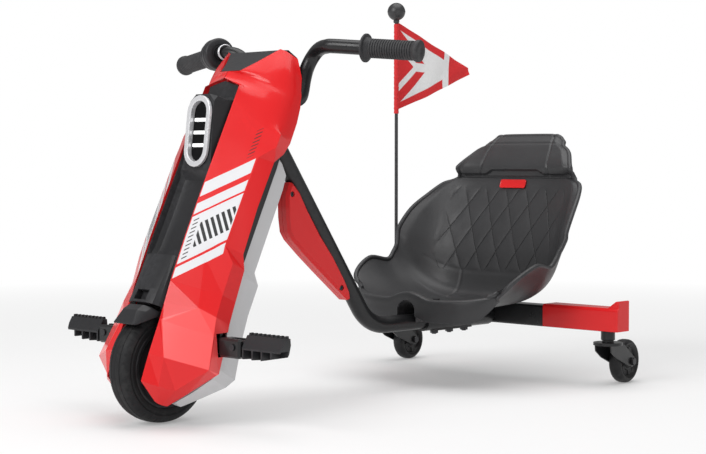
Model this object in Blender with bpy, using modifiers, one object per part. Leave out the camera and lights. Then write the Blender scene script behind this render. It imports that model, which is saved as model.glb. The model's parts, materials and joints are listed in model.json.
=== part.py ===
"""Electric drift kart: one steered and driven front wheel, a bent main tube,
a bucket seat and two swivel casters.

Units are metres, +Z is up, the kart drives towards -Y and its left side is +X.
Two sets of coordinates place the pieces:
  kart(forward, left, up): forward is measured from the line on which the casters touch the ground
  column (left, back, up the steering axis): measured from the front axle, for all that steers
"""
import math

import bmesh
import bpy
from mathutils import Euler, Matrix, Vector

# Driving dimensions
GAP = 0.0003                   # left between pieces that touch
WHEELBASE = 0.829              # caster contact line to front axle
BBOX_SHIFT = 0.3732            # puts the origin under the middle of the kart
RAKE = math.radians(26.0)      # lean of the steering axis

TYRE_RADIUS = 0.0825
TYRE_WIDTH = 0.042
HUB_RADIUS = 0.060
HUB_WIDTH = 0.040
AXLE_RADIUS = 0.006
FORK_GAP = 0.004               # tyre side to fork leg
FORK_LEG_THICKNESS = 0.006
FORK_LEG_WIDTH = 0.032
FORK_CROWN_HEIGHT = 0.100      # axle to underside of crown
FORK_CROWN_THICKNESS = 0.012
STEERER_RADIUS = 0.0127
HEAD_CENTRE = 0.4240           # front axle to middle of head tube, along the axis
HEAD_LENGTH = 0.085
TUBE_MEETS_AXIS = 0.4338        # where the main tube's centreline crosses the steering axis
STEERER_ABOVE = 0.020          # steerer standing above the head tube
HEAD_WALL = 0.0025
BEARING_HEIGHT = 0.007

MAIN_TUBE_RADIUS = 0.014
MAIN_TUBE_HEIGHT = 0.108       # centre of its level run
MAIN_TUBE_SLOPE = math.radians(55.0)
MAIN_TUBE_BEND = 0.075         # centreline bend radius
SLEEVE_WALL = 0.004
SLEEVE_FRONT = 0.250
CLAMP_BOLT_PITCH = 0.040
CLAMP_BOLT_FIRST = 0.137
CLAMP_BOLT_RADIUS = 0.004

BEAM_FORWARD = 0.055           # crossbeam centre, also the caster stems
BEAM_DEPTH = 0.036
BEAM_HEIGHT = 0.037
BEAM_HALF_LENGTH = 0.272
BEAM_CENTRE_UP = 0.1120
COVER_WALL = 0.003
COVER_CLEARANCE = 0.0006
COVER_INNER_END = 0.127
COVER_TIP_RISE = 0.012

CASTER_TRACK = 0.500
CASTER_RADIUS = 0.0375
CASTER_WIDTH = 0.024
CASTER_TRAIL = 0.057
CASTER_SWING = math.radians(-6.0)
CASTER_SOCKET_RADIUS = 0.012
CASTER_PLATE_RADIUS = 0.025
CASTER_PLATE_TOP = 0.0745
CASTER_PLATE_THICKNESS = 0.005
CASTER_ARM_THICKNESS = 0.0025
CASTER_SIDE_GAP = 0.0015
CASTER_BOLT_RADIUS = 0.004

SEAT_HALF_WIDTH = 0.190
SEAT_WALL = 0.004
SEAT_PAN_HEIGHT = 0.1345       # top face of the pan
SEAT_HUMP_RISE = 0.012         # front lip rises over the main tube
SEAT_HUMP_HALF = 0.052
SEAT_CARRIER_THICKNESS = 0.004
SEAT_BOLT_RADIUS = 0.003
BADGE_RISE = 0.0130            # badge centre above the middle of its span of the seat
SEAT_BOLT_FORWARD = 0.165
SEAT_BOLT_SIDE = 0.040

BAR_RADIUS = 0.011
GRIP_RADIUS = 0.0145
GRIP_START = (0.177, -0.0195, 0.5294)     # left grip's inner end, as side, front, along
GRIP_END = (0.265, -0.0465, 0.5340)
GRIP_FLANGE_RADIUS = 0.0215
THROTTLE_LONGER = 0.0200       # twist grip starts this much further in than the left grip
THROTTLE_DRUM_RADIUS = 0.0235
THROTTLE_DISC_RADIUS = 0.0262

PANEL_WALL = 0.003
SPINE_HALF_WIDTH = 0.0385
SPINE_DEPTH = 0.070
INNER_WALL = 0.0025            # black walls that close the two body halves towards the wheel
INNER_WALL_SIDE = 0.0415
LAMP_HALF_WIDTH = 0.0258
LAMP_RING_WIDTH = 0.0085
LAMP_COLLAR_INSET = 0.0040     # collar behind the ring, smaller all round than the ring
LAMP_LOW = 0.292
LAMP_HIGH = 0.394
BUTTON_RADIUS = 0.0068
BUTTON_SIDE = 0.030

PEG_PIVOT_SIDE = 0.1465
PEG_FORWARD = 0.805
PEG_UP = 0.120
PEG_OUTER = 0.243
PEG_PIN_RADIUS = 0.003

FLAG_SIDE = -0.236
FLAG_TOP = 0.664               # centre of the ball
FLAG_POLE_RADIUS = 0.0032
FLAG_BALL_RADIUS = 0.017
FLAG_LENGTH = 0.215
FLAG_HEIGHT = 0.164
FLAG_THICKNESS = 0.0012

FULL_TURN = 2 * math.pi


def kart(forward, left, up):
    """World place of a point given from the caster contact line."""
    return Vector((left, BBOX_SHIFT - forward, up))


def column(left, front, along):
    """Column place: front is the distance ahead of the steering axis."""
    return Vector((left, -front, along))


def clear_scene():
    for item in list(bpy.data.objects):
        bpy.data.objects.remove(item, do_unlink=True)


def new_collection(name):
    group = bpy.data.collections.new(name)
    bpy.context.scene.collection.children.link(group)
    return group


def material(name, color, roughness, metallic=0.0):
    mat = bpy.data.materials.new(name)
    mat.use_nodes = True
    shader = mat.node_tree.nodes["Principled BSDF"]
    shader.inputs["Base Color"].default_value = (*color, 1.0)
    shader.inputs["Roughness"].default_value = roughness
    shader.inputs["Metallic"].default_value = metallic
    return mat


clear_scene()
PARTS = new_collection("electric_drift_kart")
CUTTERS = new_collection("cutters")

RED = ((0.72, 0.02, 0.022), 0.28)
BLACK = ((0.028, 0.028, 0.03), 0.45)
STEEL_BLACK = ((0.02, 0.02, 0.022), 0.35)
GREY = ((0.55, 0.55, 0.56), 0.4)
RUBBER = ((0.018, 0.018, 0.018), 0.8)
SILVER = ((0.75, 0.75, 0.77), 0.3)
ZINC = ((0.4, 0.4, 0.42), 0.35)
WHITE = ((0.9, 0.9, 0.9), 0.3)


def add_object(name, mesh, look, parent=None, metallic=0.0, smooth=None):
    """Puts a mesh in the kart's collection under its own name and material."""
    obj = bpy.data.objects.new(name, mesh)
    PARTS.objects.link(obj)
    mesh.name = name
    mesh.materials.clear()
    mesh.materials.append(material(name, look[0], look[1], metallic))
    if smooth is not None:
        mesh.shade_smooth()
        mesh.set_sharp_from_angle(angle=math.radians(smooth))
    if parent is not None:
        obj.parent = parent
    return obj


def mesh_from(bm, name="piece"):
    bmesh.ops.recalc_face_normals(bm, faces=bm.faces)
    mesh = bpy.data.meshes.new(name)
    bm.to_mesh(mesh)
    bm.free()
    return mesh


def empty(name, place, turn=(0.0, 0.0, 0.0), parent=None):
    """A guide for a joint's axis; it isn't a piece."""
    guide = bpy.data.objects.new(name, None)
    PARTS.objects.link(guide)
    guide.location = place
    guide.rotation_euler = Euler(turn)
    guide.parent = parent
    return guide


def box_mesh(size, centre, bevel=0.0):
    """A block of a size about a centre, with chamfered edges."""
    bm = bmesh.new()
    bmesh.ops.create_cube(bm, size=1.0)
    bmesh.ops.scale(bm, vec=size, verts=bm.verts)
    if bevel:
        bmesh.ops.bevel(bm, geom=list(bm.edges), offset=bevel, segments=1, affect="EDGES")
    bmesh.ops.translate(bm, vec=centre, verts=bm.verts)
    return mesh_from(bm)


def rod_mesh(radius, start, end, sides=20, bevel=0.0, end_radius=None):
    """A round bar, or a cone, between two points."""
    start, end = Vector(start), Vector(end)
    bm = bmesh.new()
    bmesh.ops.create_cone(bm, cap_ends=True, segments=sides, radius1=radius,
                          radius2=radius if end_radius is None else end_radius,
                          depth=(end - start).length)
    if bevel:
        rims = [e for e in bm.edges if abs(e.verts[0].co.z - e.verts[1].co.z) < 1e-6]
        bmesh.ops.bevel(bm, geom=rims, offset=bevel, segments=1, affect="EDGES")
    turn = (end - start).to_track_quat("Z", "Y").to_matrix().to_4x4()
    bmesh.ops.transform(bm, matrix=Matrix.Translation((start + end) / 2) @ turn, verts=bm.verts)
    return mesh_from(bm)


def turned_mesh(profile, axis_place, axis, steps=32):
    """Turns a closed outline of (radius, height) points about an axis."""
    bm = bmesh.new()
    verts = [bm.verts.new((r, 0.0, h)) for r, h in profile]
    edges = [bm.edges.new((verts[index - 1], verts[index])) for index in range(len(verts))]
    bmesh.ops.spin(bm, geom=verts + edges, cent=(0, 0, 0), axis=(0, 0, 1), angle=FULL_TURN,
                   steps=steps, use_merge=True)
    bmesh.ops.remove_doubles(bm, verts=bm.verts, dist=1e-6)
    turn = Vector(axis).to_track_quat("Z", "Y").to_matrix().to_4x4()
    bmesh.ops.transform(bm, matrix=Matrix.Translation(Vector(axis_place)) @ turn, verts=bm.verts)
    return mesh_from(bm)


def tube_mesh(points, radius, resolution=4, bore=0.0):
    """A round tube along a smooth route, made from a curve; a bore is open at both ends."""
    outer = curve_solid(points, radius, resolution)
    if not bore:
        return outer
    first, second = Vector(points[0]), Vector(points[1])
    last, before = Vector(points[-1]), Vector(points[-2])
    longer = [first + (first - second).normalized() * 0.01, *points[1:-1],
              last + (last - before).normalized() * 0.01]
    return cut_mesh(outer, [curve_solid(longer, bore, resolution)])


def curve_solid(points, radius, resolution):
    curve = bpy.data.curves.new("route", "CURVE")
    curve.dimensions = "3D"
    curve.bevel_depth = radius
    curve.bevel_resolution = resolution
    curve.use_fill_caps = True
    spline = curve.splines.new("POLY")
    spline.points.add(len(points) - 1)
    for point, place in zip(spline.points, points):
        point.co = (*place, 1.0)
    holder = bpy.data.objects.new("route", curve)
    CUTTERS.objects.link(holder)
    bpy.context.view_layer.update()
    shape = bpy.data.meshes.new_from_object(holder.evaluated_get(bpy.context.evaluated_depsgraph_get()))
    bpy.data.objects.remove(holder, do_unlink=True)
    bpy.data.curves.remove(curve)
    bm = bmesh.new()
    bm.from_mesh(shape)
    bmesh.ops.remove_doubles(bm, verts=bm.verts, dist=1e-6)
    return mesh_from(bm)


def outline_mesh(points, low, high, plane="XY"):
    """A flat outline of two-number points, made thick between low and high along the third axis.
    Planes: XY thick along Z, YZ thick along X, XZ thick along Y."""
    bm = bmesh.new()
    place = {"XY": lambda a, b, c: (a, b, c), "YZ": lambda a, b, c: (c, a, b),
             "XZ": lambda a, b, c: (a, c, b)}[plane]
    bottom = [bm.verts.new(place(a, b, low)) for a, b in points]
    top = [bm.verts.new(place(a, b, high)) for a, b in points]
    bm.faces.new(bottom)
    bm.faces.new(list(reversed(top)))
    count = len(points)
    for index in range(count):
        after = (index + 1) % count
        bm.faces.new((bottom[index], bottom[after], top[after], top[index]))
    return mesh_from(bm)


def chamfered_outline(points, start, end, chamfer):
    """A plate standing in the side view, its outline broken by a chamfer at the end face."""
    bm = bmesh.new()
    base = bm.faces.new([bm.verts.new((start, y, z)) for y, z in points])
    grown = bmesh.ops.extrude_face_region(bm, geom=[base])
    top = [item for item in grown["geom"] if isinstance(item, bmesh.types.BMFace)]
    verts = [item for item in grown["geom"] if isinstance(item, bmesh.types.BMVert)]
    step = chamfer if end > start else -chamfer
    bmesh.ops.translate(bm, vec=(end - start - step, 0, 0), verts=verts)
    bmesh.ops.recalc_face_normals(bm, faces=bm.faces)
    bmesh.ops.inset_region(bm, faces=top, thickness=chamfer, depth=chamfer, use_even_offset=True)
    return mesh_from(bm)


def combine(base, others, operation):
    """Joins or cuts closed meshes with exact booleans and gives the result as one mesh."""
    holder = bpy.data.objects.new("base", base)
    PARTS.objects.link(holder)
    helpers = []
    for other in others:
        helper = bpy.data.objects.new("helper", other)
        CUTTERS.objects.link(helper)
        helper.hide_render = True
        helper.display_type = "WIRE"
        step = holder.modifiers.new("step", "BOOLEAN")
        step.operation = operation
        step.object = helper
        helpers.append(helper)
    bpy.context.view_layer.update()
    result = bpy.data.meshes.new_from_object(holder.evaluated_get(bpy.context.evaluated_depsgraph_get()))
    for item in (holder, *helpers):
        bpy.data.objects.remove(item, do_unlink=True)
    bm = bmesh.new()
    bm.from_mesh(result)
    bmesh.ops.remove_doubles(bm, verts=bm.verts, dist=2e-6)
    bmesh.ops.dissolve_degenerate(bm, edges=bm.edges, dist=1e-6)
    return mesh_from(bm)


def cut_mesh(base, cutters):
    return combine(base, cutters, "DIFFERENCE")


def join_mesh(base, others):
    return combine(base, others, "UNION")


def mirrored(mesh):
    """The same piece for the right-hand side."""
    bm = bmesh.new()
    bm.from_mesh(mesh)
    bmesh.ops.scale(bm, vec=(-1.0, 1.0, 1.0), verts=bm.verts)
    bmesh.ops.reverse_faces(bm, faces=bm.faces)
    return mesh_from(bm)


def moved(mesh, matrix):
    bm = bmesh.new()
    bm.from_mesh(mesh)
    bmesh.ops.transform(bm, matrix=matrix, verts=bm.verts)
    return mesh_from(bm)


def sheet_shell(rows, wall, facing):
    """A sheet through rows of points, given a wall behind it, as one closed shell.
    facing is a direction to which the sheet's visible side looks."""
    bm = bmesh.new()
    grid = [[bm.verts.new(place) for place in row] for row in rows]
    for row, above in zip(grid[:-1], grid[1:]):
        for index in range(len(row) - 1):
            bm.faces.new((row[index], row[index + 1], above[index + 1], above[index]))
    bm.normal_update()
    if sum(face.normal.dot(facing) * face.calc_area() for face in bm.faces) < 0:
        bmesh.ops.reverse_faces(bm, faces=bm.faces)
    mesh = bpy.data.meshes.new("sheet")
    bm.to_mesh(mesh)
    bm.free()
    holder = bpy.data.objects.new("sheet", mesh)
    CUTTERS.objects.link(holder)
    solid = holder.modifiers.new("wall", "SOLIDIFY")
    solid.thickness = wall
    solid.offset = -1.0
    solid.use_even_offset = True
    solid.use_quality_normals = True
    bpy.context.view_layer.update()
    result = bpy.data.meshes.new_from_object(holder.evaluated_get(bpy.context.evaluated_depsgraph_get()))
    bpy.data.objects.remove(holder, do_unlink=True)
    bm = bmesh.new()
    bm.from_mesh(result)
    return mesh_from(bm)


def arc(centre, radius, start, end, steps):
    """Points of a round stretch, angles in degrees."""
    return [(centre[0] + radius * math.cos(math.radians(start + (end - start) * k / steps)),
             centre[1] + radius * math.sin(math.radians(start + (end - start) * k / steps)))
            for k in range(steps + 1)]


def rounded_outline(corners, radius, steps=3):
    """Replaces each corner of an outline by a small round of short straight steps."""
    points = []
    count = len(corners)
    for index, corner in enumerate(corners):
        corner = Vector(corner)
        before = (Vector(corners[index - 1]) - corner).normalized() * radius
        after = (Vector(corners[(index + 1) % count]) - corner).normalized() * radius
        for step in range(steps + 1):
            t = step / steps
            points.append(tuple(corner + before * (1 - t) ** 2 + after * t ** 2))
    return points


STEER = empty("steering_axis", kart(WHEELBASE, 0.0, TYRE_RADIUS), (-RAKE, 0.0, 0.0))


# Front wheel, on the steering frame: column coordinates, axle at the origin
def front_wheel():
    half = TYRE_WIDTH / 2
    bead = HUB_RADIUS + GAP
    spin = empty("front_wheel_axis", (0.0, 0.0, 0.0), parent=STEER)
    tread = [(bead, -half + 0.004), (bead + 0.006, -half), (TYRE_RADIUS - 0.012, -half + 0.002),
             (TYRE_RADIUS - 0.004, -half + 0.009), (TYRE_RADIUS, -0.004), (TYRE_RADIUS, 0.004),
             (TYRE_RADIUS - 0.004, half - 0.009), (TYRE_RADIUS - 0.012, half - 0.002),
             (bead + 0.006, half), (bead, half - 0.004)]
    add_object("front_tyre", turned_mesh(tread, (0, 0, 0), (1, 0, 0), 40), RUBBER, spin, smooth=40)
    hub = HUB_WIDTH / 2
    bore = AXLE_RADIUS + GAP
    shell = [(bore, -hub), (0.020, -hub), (0.024, -hub + 0.003), (0.050, -hub + 0.004),
             (HUB_RADIUS, -hub + 0.006), (HUB_RADIUS, hub - 0.006), (0.050, hub - 0.004),
             (0.024, hub - 0.003), (0.020, hub), (bore, hub)]
    add_object("hub_motor", turned_mesh(shell, (0, 0, 0), (1, 0, 0), 32), ZINC, spin, 0.8, smooth=30)
    nut_reach = fork_leg_side() + FORK_LEG_THICKNESS + 0.0075
    add_object("front_axle", rod_mesh(AXLE_RADIUS, (-nut_reach, 0, 0), (nut_reach, 0, 0), 16),
               ZINC, STEER, 0.9, smooth=40)
    for side, name in ((1, "left"), (-1, "right")):
        inner = side * (fork_leg_side() + FORK_LEG_THICKNESS + GAP)
        outer = inner + side * 0.0055
        nut = rod_mesh(0.0095, (inner, 0, 0), (outer, 0, 0), 6)
        thread = rod_mesh(AXLE_RADIUS + GAP, (inner - side * 0.002, 0, 0), (outer + side * 0.002, 0, 0), 16)
        add_object("axle_nut_" + name, cut_mesh(nut, [thread]), ZINC, STEER, 0.9)


def fork_leg_side():
    """Side distance of the inner face of a fork leg."""
    return TYRE_WIDTH / 2 + FORK_GAP


def fork():
    """Legs, crown and steerer, welded as one piece."""
    side = fork_leg_side()
    top = FORK_CROWN_HEIGHT + FORK_CROWN_THICKNESS
    half = FORK_LEG_WIDTH / 2
    leg = [(half, top), (-half, top)] + arc((0.0, 0.0), half, 180.0, 360.0, 8)
    legs = []
    for sign in (-1, 1):
        low, high = sorted((sign * side, sign * (side + FORK_LEG_THICKNESS)))
        legs.append(outline_mesh(leg, low, high, "YZ"))
    width = 2 * (side + FORK_LEG_THICKNESS) - 0.0004
    crown = box_mesh((width, 0.036, FORK_CROWN_THICKNESS),
                     (0, 0, FORK_CROWN_HEIGHT + FORK_CROWN_THICKNESS / 2 - 0.0002))
    steerer_top = HEAD_CENTRE + HEAD_LENGTH / 2 + STEERER_ABOVE
    steerer = rod_mesh(STEERER_RADIUS, (0, 0, top - 0.004), (0, 0, steerer_top), 24)
    whole = join_mesh(crown, [*legs, steerer])
    race = HEAD_CENTRE - HEAD_LENGTH / 2 - BEARING_HEIGHT - 2 * GAP
    collar = rod_mesh(STEERER_RADIUS + 0.004, (0, 0, race - 0.010), (0, 0, race), 24)
    whole = join_mesh(whole, [collar])
    dropout = rod_mesh(AXLE_RADIUS + GAP, (-0.1, 0, 0), (0.1, 0, 0), 16)
    whole = cut_mesh(whole, [dropout])
    add_object("fork", whole, STEEL_BLACK, STEER, 0.6, smooth=35)


def head_outer():
    return STEERER_RADIUS + 0.0025 + HEAD_WALL


def head_tube_and_bearings():
    """The head tube is part of the standing frame; it shares the steering axis."""
    low, high = HEAD_CENTRE - HEAD_LENGTH / 2, HEAD_CENTRE + HEAD_LENGTH / 2
    inner, outer = STEERER_RADIUS + 0.0025, head_outer()
    profile = [(inner, low), (outer, low), (outer, high), (inner, high)]
    add_object("head_tube", turned_mesh(profile, (0, 0, 0), (0, 0, 1), 24), STEEL_BLACK, STEER, 0.6,
               smooth=35)
    for start, name in ((low - GAP - BEARING_HEIGHT, "lower"), (high + GAP, "upper")):
        end = start + BEARING_HEIGHT
        ring = [(STEERER_RADIUS + GAP, start), (outer, start), (outer, end), (STEERER_RADIUS + GAP, end)]
        add_object("head_bearing_" + name, turned_mesh(ring, (0, 0, 0), (0, 0, 1), 24), ZINC, STEER, 0.8,
                   smooth=35)


def steering_point(along):
    """Kart coordinates (forward, up) of a point on the steering axis."""
    return (WHEELBASE - along * math.sin(RAKE), TYRE_RADIUS + along * math.cos(RAKE))


def main_tube_route():
    """Centreline from the sleeve, level, then up the slope to the head tube."""
    head_forward, head_up = steering_point(TUBE_MEETS_AXIS)
    slope = MAIN_TUBE_SLOPE
    corner = head_forward - (head_up - MAIN_TUBE_HEIGHT) / math.tan(slope)
    tangent = MAIN_TUBE_BEND * math.tan(slope / 2)
    points = [(SLEEVE_FRONT - 0.150, MAIN_TUBE_HEIGHT), (corner - tangent, MAIN_TUBE_HEIGHT)]
    centre = (corner - tangent, MAIN_TUBE_HEIGHT + MAIN_TUBE_BEND)
    points += arc(centre, MAIN_TUBE_BEND, -90.0, -90.0 + math.degrees(slope), 8)[1:]
    points.append((head_forward, head_up))
    return [kart(f, 0.0, u) for f, u in points]


def main_frame():
    route = main_tube_route()
    tube = tube_mesh(route, MAIN_TUBE_RADIUS, 6)
    head_forward, head_up = steering_point(HEAD_CENTRE)
    lean = Vector((0.0, math.sin(RAKE), math.cos(RAKE)))
    centre = kart(head_forward, 0.0, head_up)
    cope = rod_mesh(head_outer() + GAP, centre - lean * 0.08, centre + lean * 0.08, 32)
    tube = cut_mesh(tube, [cope])
    tube = keep_largest(tube)
    add_object("main_tube", tube, STEEL_BLACK, metallic=0.5, smooth=35)


def keep_largest(mesh):
    """Drops the loose chips that a coping cut leaves on the far side."""
    bm = bmesh.new()
    bm.from_mesh(mesh)
    islands, seen = [], set()
    for vert in bm.verts:
        if vert in seen:
            continue
        stack, island = [vert], set()
        while stack:
            here = stack.pop()
            if here in island:
                continue
            island.add(here)
            stack.extend(edge.other_vert(here) for edge in here.link_edges)
        seen |= island
        islands.append(island)
    islands.sort(key=len)
    for island in islands[:-1]:
        bmesh.ops.delete(bm, geom=list(island), context="VERTS")
    return mesh_from(bm)


def frame_panels():
    """Red covers on both sides of the sloping tube, filling the space under it."""
    outline = [(0.5663, 0.3470), (0.5736, 0.3487), (0.5821, 0.3278), (0.5809, 0.2931), (0.5775, 0.2704),
               (0.5690, 0.2579), (0.5396, 0.2322), (0.5073, 0.2060), (0.4434, 0.1557), (0.4370, 0.1575),
               (0.4390, 0.1690), (0.4511, 0.1909), (0.4768, 0.2281), (0.5073, 0.2650), (0.5346, 0.3045),
               (0.5519, 0.3328)]
    flat = [tuple(kart(f, 0.0, u).yz) for f, u in outline]
    half = 0.0135
    groove = tube_mesh(main_tube_route(), MAIN_TUBE_RADIUS + 2 * GAP, 6)
    for sign, name in ((1, "left"), (-1, "right")):
        panel = chamfered_outline(flat, sign * GAP, sign * half, 0.0045)
        panel = cut_mesh(panel, [groove])
        holes = []
        for forward, up in ((0.5710, 0.3300), (0.4600, 0.1770)):
            spot = kart(forward, 0.0, up)
            holes.append(rod_mesh(0.0046, spot + Vector((sign * (half - 0.003), 0, 0)),
                                  spot + Vector((sign * (half + 0.01), 0, 0)), 14))
        panel = keep_largest(cut_mesh(panel, holes))
        add_object("frame_panel_" + name, panel, RED)


def sleeve_outer():
    return MAIN_TUBE_RADIUS + GAP + SLEEVE_WALL


def rear_sleeve():
    """Socket tube welded to the crossbeam; the main tube slides in and three bolts hold it."""
    back = BEAM_FORWARD + BEAM_DEPTH / 2 + GAP
    tube = tube_mesh([kart(SLEEVE_FRONT, 0, MAIN_TUBE_HEIGHT), kart(back, 0, MAIN_TUBE_HEIGHT)],
                     sleeve_outer(), 5, bore=MAIN_TUBE_RADIUS + GAP)
    pad_low = MAIN_TUBE_HEIGHT - sleeve_outer() - 0.0005
    pad = box_mesh((0.018, CLAMP_BOLT_PITCH * 2 + 0.022, 0.006),
                   kart(CLAMP_BOLT_FIRST + CLAMP_BOLT_PITCH, 0, pad_low + 0.003))
    inner = rod_mesh(MAIN_TUBE_RADIUS + GAP, kart(SLEEVE_FRONT + 0.01, 0, MAIN_TUBE_HEIGHT),
                     kart(0.05, 0, MAIN_TUBE_HEIGHT), 24)
    tube = join_mesh(tube, [pad])
    tube = cut_mesh(tube, [inner])
    for index, name in enumerate(("rear", "middle", "front")):
        spot = kart(CLAMP_BOLT_FIRST + index * CLAMP_BOLT_PITCH, 0.0, 0.0)
        top = MAIN_TUBE_HEIGHT - MAIN_TUBE_RADIUS - GAP
        low = pad_low - GAP
        tube = cut_mesh(tube, [rod_mesh(CLAMP_BOLT_RADIUS + GAP, spot + Vector((0, 0, low - 0.01)),
                                        spot + Vector((0, 0, top + 0.002)), 14)])
        shank = rod_mesh(CLAMP_BOLT_RADIUS, spot + Vector((0, 0, low - 0.0060)),
                         spot + Vector((0, 0, top - GAP)), 12)
        nut = rod_mesh(0.0072, spot + Vector((0, 0, low - 0.0045)), spot + Vector((0, 0, low)), 6)
        add_object("clamp_bolt_" + name, join_mesh(shank, [nut]), ZINC, metallic=0.9)
    add_object("rear_sleeve", tube, STEEL_BLACK, metallic=0.5, smooth=35)


def crossbeam():
    """Box tube across the back with the two caster sockets and their braces."""
    half_up = BEAM_HEIGHT / 2
    beam = box_mesh((2 * BEAM_HALF_LENGTH, BEAM_DEPTH, BEAM_HEIGHT), kart(BEAM_FORWARD, 0, BEAM_CENTRE_UP),
                    0.003)
    extras = []
    for side in (-1, 1):
        spot = kart(BEAM_FORWARD, side * CASTER_TRACK / 2, 0.0)
        extras.append(rod_mesh(CASTER_SOCKET_RADIUS, spot + Vector((0, 0, CASTER_PLATE_TOP + 0.004)),
                               spot + Vector((0, 0, BEAM_CENTRE_UP - half_up + 0.004)), 20))
    beam = join_mesh(beam, extras)
    add_object("crossbeam", beam, STEEL_BLACK, metallic=0.5, smooth=30)


def end_covers():
    """Red moulded covers over the beam's ends, open underneath, with an upturned outer tip."""
    half_d = BEAM_DEPTH / 2 + COVER_CLEARANCE
    low = BEAM_CENTRE_UP - BEAM_HEIGHT / 2 + 0.001
    high = BEAM_CENTRE_UP + BEAM_HEIGHT / 2 + COVER_CLEARANCE
    wall = COVER_WALL
    inner_end, outer_end = COVER_INNER_END, BEAM_HALF_LENGTH + COVER_CLEARANCE + wall + 0.008
    outline = [(-half_d - wall, low), (half_d + wall, low), (half_d + wall, high + wall - 0.004),
               (half_d + wall - 0.004, high + wall), (-half_d - wall + 0.004, high + wall),
               (-half_d - wall, high + wall - 0.004)]
    centre_y = kart(BEAM_FORWARD, 0, 0).y
    flat = [(centre_y + a, b) for a, b in outline]
    body = outline_mesh(flat, inner_end, outer_end, "YZ")
    tip = outline_mesh([(outer_end - 0.024, high + wall - 0.001), (outer_end, high + wall - 0.001),
                        (outer_end, high + wall + COVER_TIP_RISE), (outer_end - 0.006, high + wall +
                         COVER_TIP_RISE)], centre_y - half_d + 0.001, centre_y + half_d - 0.001, "XZ")
    body = join_mesh(body, [tip])
    behind = centre_y + half_d + wall + 0.005
    corner = outline_mesh([(outer_end - 0.012, behind), (outer_end + 0.010, behind),
                           (outer_end + 0.010, centre_y + 0.002)], 0.0, 0.3, "XY")
    body = cut_mesh(body, [corner])
    room = box_mesh((outer_end - wall - inner_end + 0.02, 2 * half_d, high - low + 0.02),
                    (inner_end - 0.02 + (outer_end - wall - inner_end + 0.02) / 2, centre_y,
                     high - (high - low + 0.02) / 2))
    room = cut_mesh(room, [moved(corner, Matrix.Translation((-wall, -wall, 0)))])
    body = cut_mesh(body, [room])
    add_object("end_cover_left", body, RED, smooth=30)
    right = mirrored(body)
    hole = kart(BEAM_FORWARD, FLAG_SIDE, 0)
    boss = rod_mesh(0.0085, hole + Vector((0, 0, high + wall - 0.001)), hole + Vector((0, 0, high + wall + 0.020)),
                    20, end_radius=0.0058)
    right = join_mesh(right, [boss])
    right = cut_mesh(right, [rod_mesh(FLAG_POLE_RADIUS + GAP, hole + Vector((0, 0, high - 0.01)),
                                      hole + Vector((0, 0, high + 0.04)), 16)])
    add_object("end_cover_right", right, RED, smooth=30)


def casters():
    """Two swivel casters: fork with plate and arms, wheel, and its bolt."""
    for side, name in ((1, "left"), (-1, "right")):
        spot = kart(BEAM_FORWARD, side * CASTER_TRACK / 2, 0.0)
        swivel = empty("caster_swivel_" + name, spot, (0.0, 0.0, -CASTER_SWING))
        axle = empty("caster_axle_line_" + name, (0.0, CASTER_TRAIL, CASTER_RADIUS), parent=swivel)
        arm_side = CASTER_WIDTH / 2 + CASTER_SIDE_GAP
        plate_low = CASTER_PLATE_TOP - CASTER_PLATE_THICKNESS
        plate = rod_mesh(CASTER_PLATE_RADIUS, (0, 0, plate_low), (0, 0, CASTER_PLATE_TOP), 28)
        stem = rod_mesh(CASTER_SOCKET_RADIUS - 0.002, (0, 0, CASTER_PLATE_TOP - 0.002),
                        (0, 0, CASTER_PLATE_TOP + 0.004 - GAP), 16)
        side_view = [(-0.018, plate_low + 0.001), (-0.016, plate_low - 0.010), (0.002, plate_low - 0.022),
                     (CASTER_TRAIL - 0.012, CASTER_RADIUS - 0.007)]
        side_view += arc((CASTER_TRAIL, CASTER_RADIUS), 0.010, 225.0, 405.0, 6)
        side_view += [(0.030, plate_low - 0.001), (0.018, plate_low + 0.001)]
        arms = []
        for sign in (-1, 1):
            low, high = sorted((sign * arm_side, sign * (arm_side + CASTER_ARM_THICKNESS)))
            arms.append(outline_mesh(side_view, low, high, "YZ"))
        fork_mesh = join_mesh(plate, [stem, *arms])
        bolt_hole = rod_mesh(CASTER_BOLT_RADIUS + GAP, (-0.05, CASTER_TRAIL, CASTER_RADIUS),
                             (0.05, CASTER_TRAIL, CASTER_RADIUS), 14)
        fork_mesh = cut_mesh(fork_mesh, [bolt_hole])
        add_object("caster_fork_" + name, fork_mesh, STEEL_BLACK, swivel, 0.6, smooth=35)
        half = CASTER_WIDTH / 2
        bore = CASTER_BOLT_RADIUS + GAP
        profile = [(bore, -half), (0.011, -half), (0.013, -half + 0.004), (0.026, -half + 0.004),
                   (0.028, -half + 0.0005), (CASTER_RADIUS - 0.005, -half + 0.0005),
                   (CASTER_RADIUS, -half + 0.006), (CASTER_RADIUS, half - 0.006),
                   (CASTER_RADIUS - 0.005, half - 0.0005), (0.028, half - 0.0005), (0.026, half - 0.004),
                   (0.013, half - 0.004), (0.011, half), (bore, half)]
        add_object("caster_wheel_" + name, turned_mesh(profile, (0, 0, 0), (1, 0, 0), 24), RUBBER, axle,
                   smooth=35)
        reach = arm_side + CASTER_ARM_THICKNESS + GAP
        shank = rod_mesh(CASTER_BOLT_RADIUS, (-reach - 0.003, 0, 0), (reach + 0.003, 0, 0), 14)
        head = rod_mesh(0.0068, (reach, 0, 0), (reach + 0.0045, 0, 0), 6)
        nut = rod_mesh(0.0068, (-reach - 0.0045, 0, 0), (-reach, 0, 0), 6)
        add_object("caster_bolt_" + name, join_mesh(shank, [head, nut]), ZINC, axle, 0.9)


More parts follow.
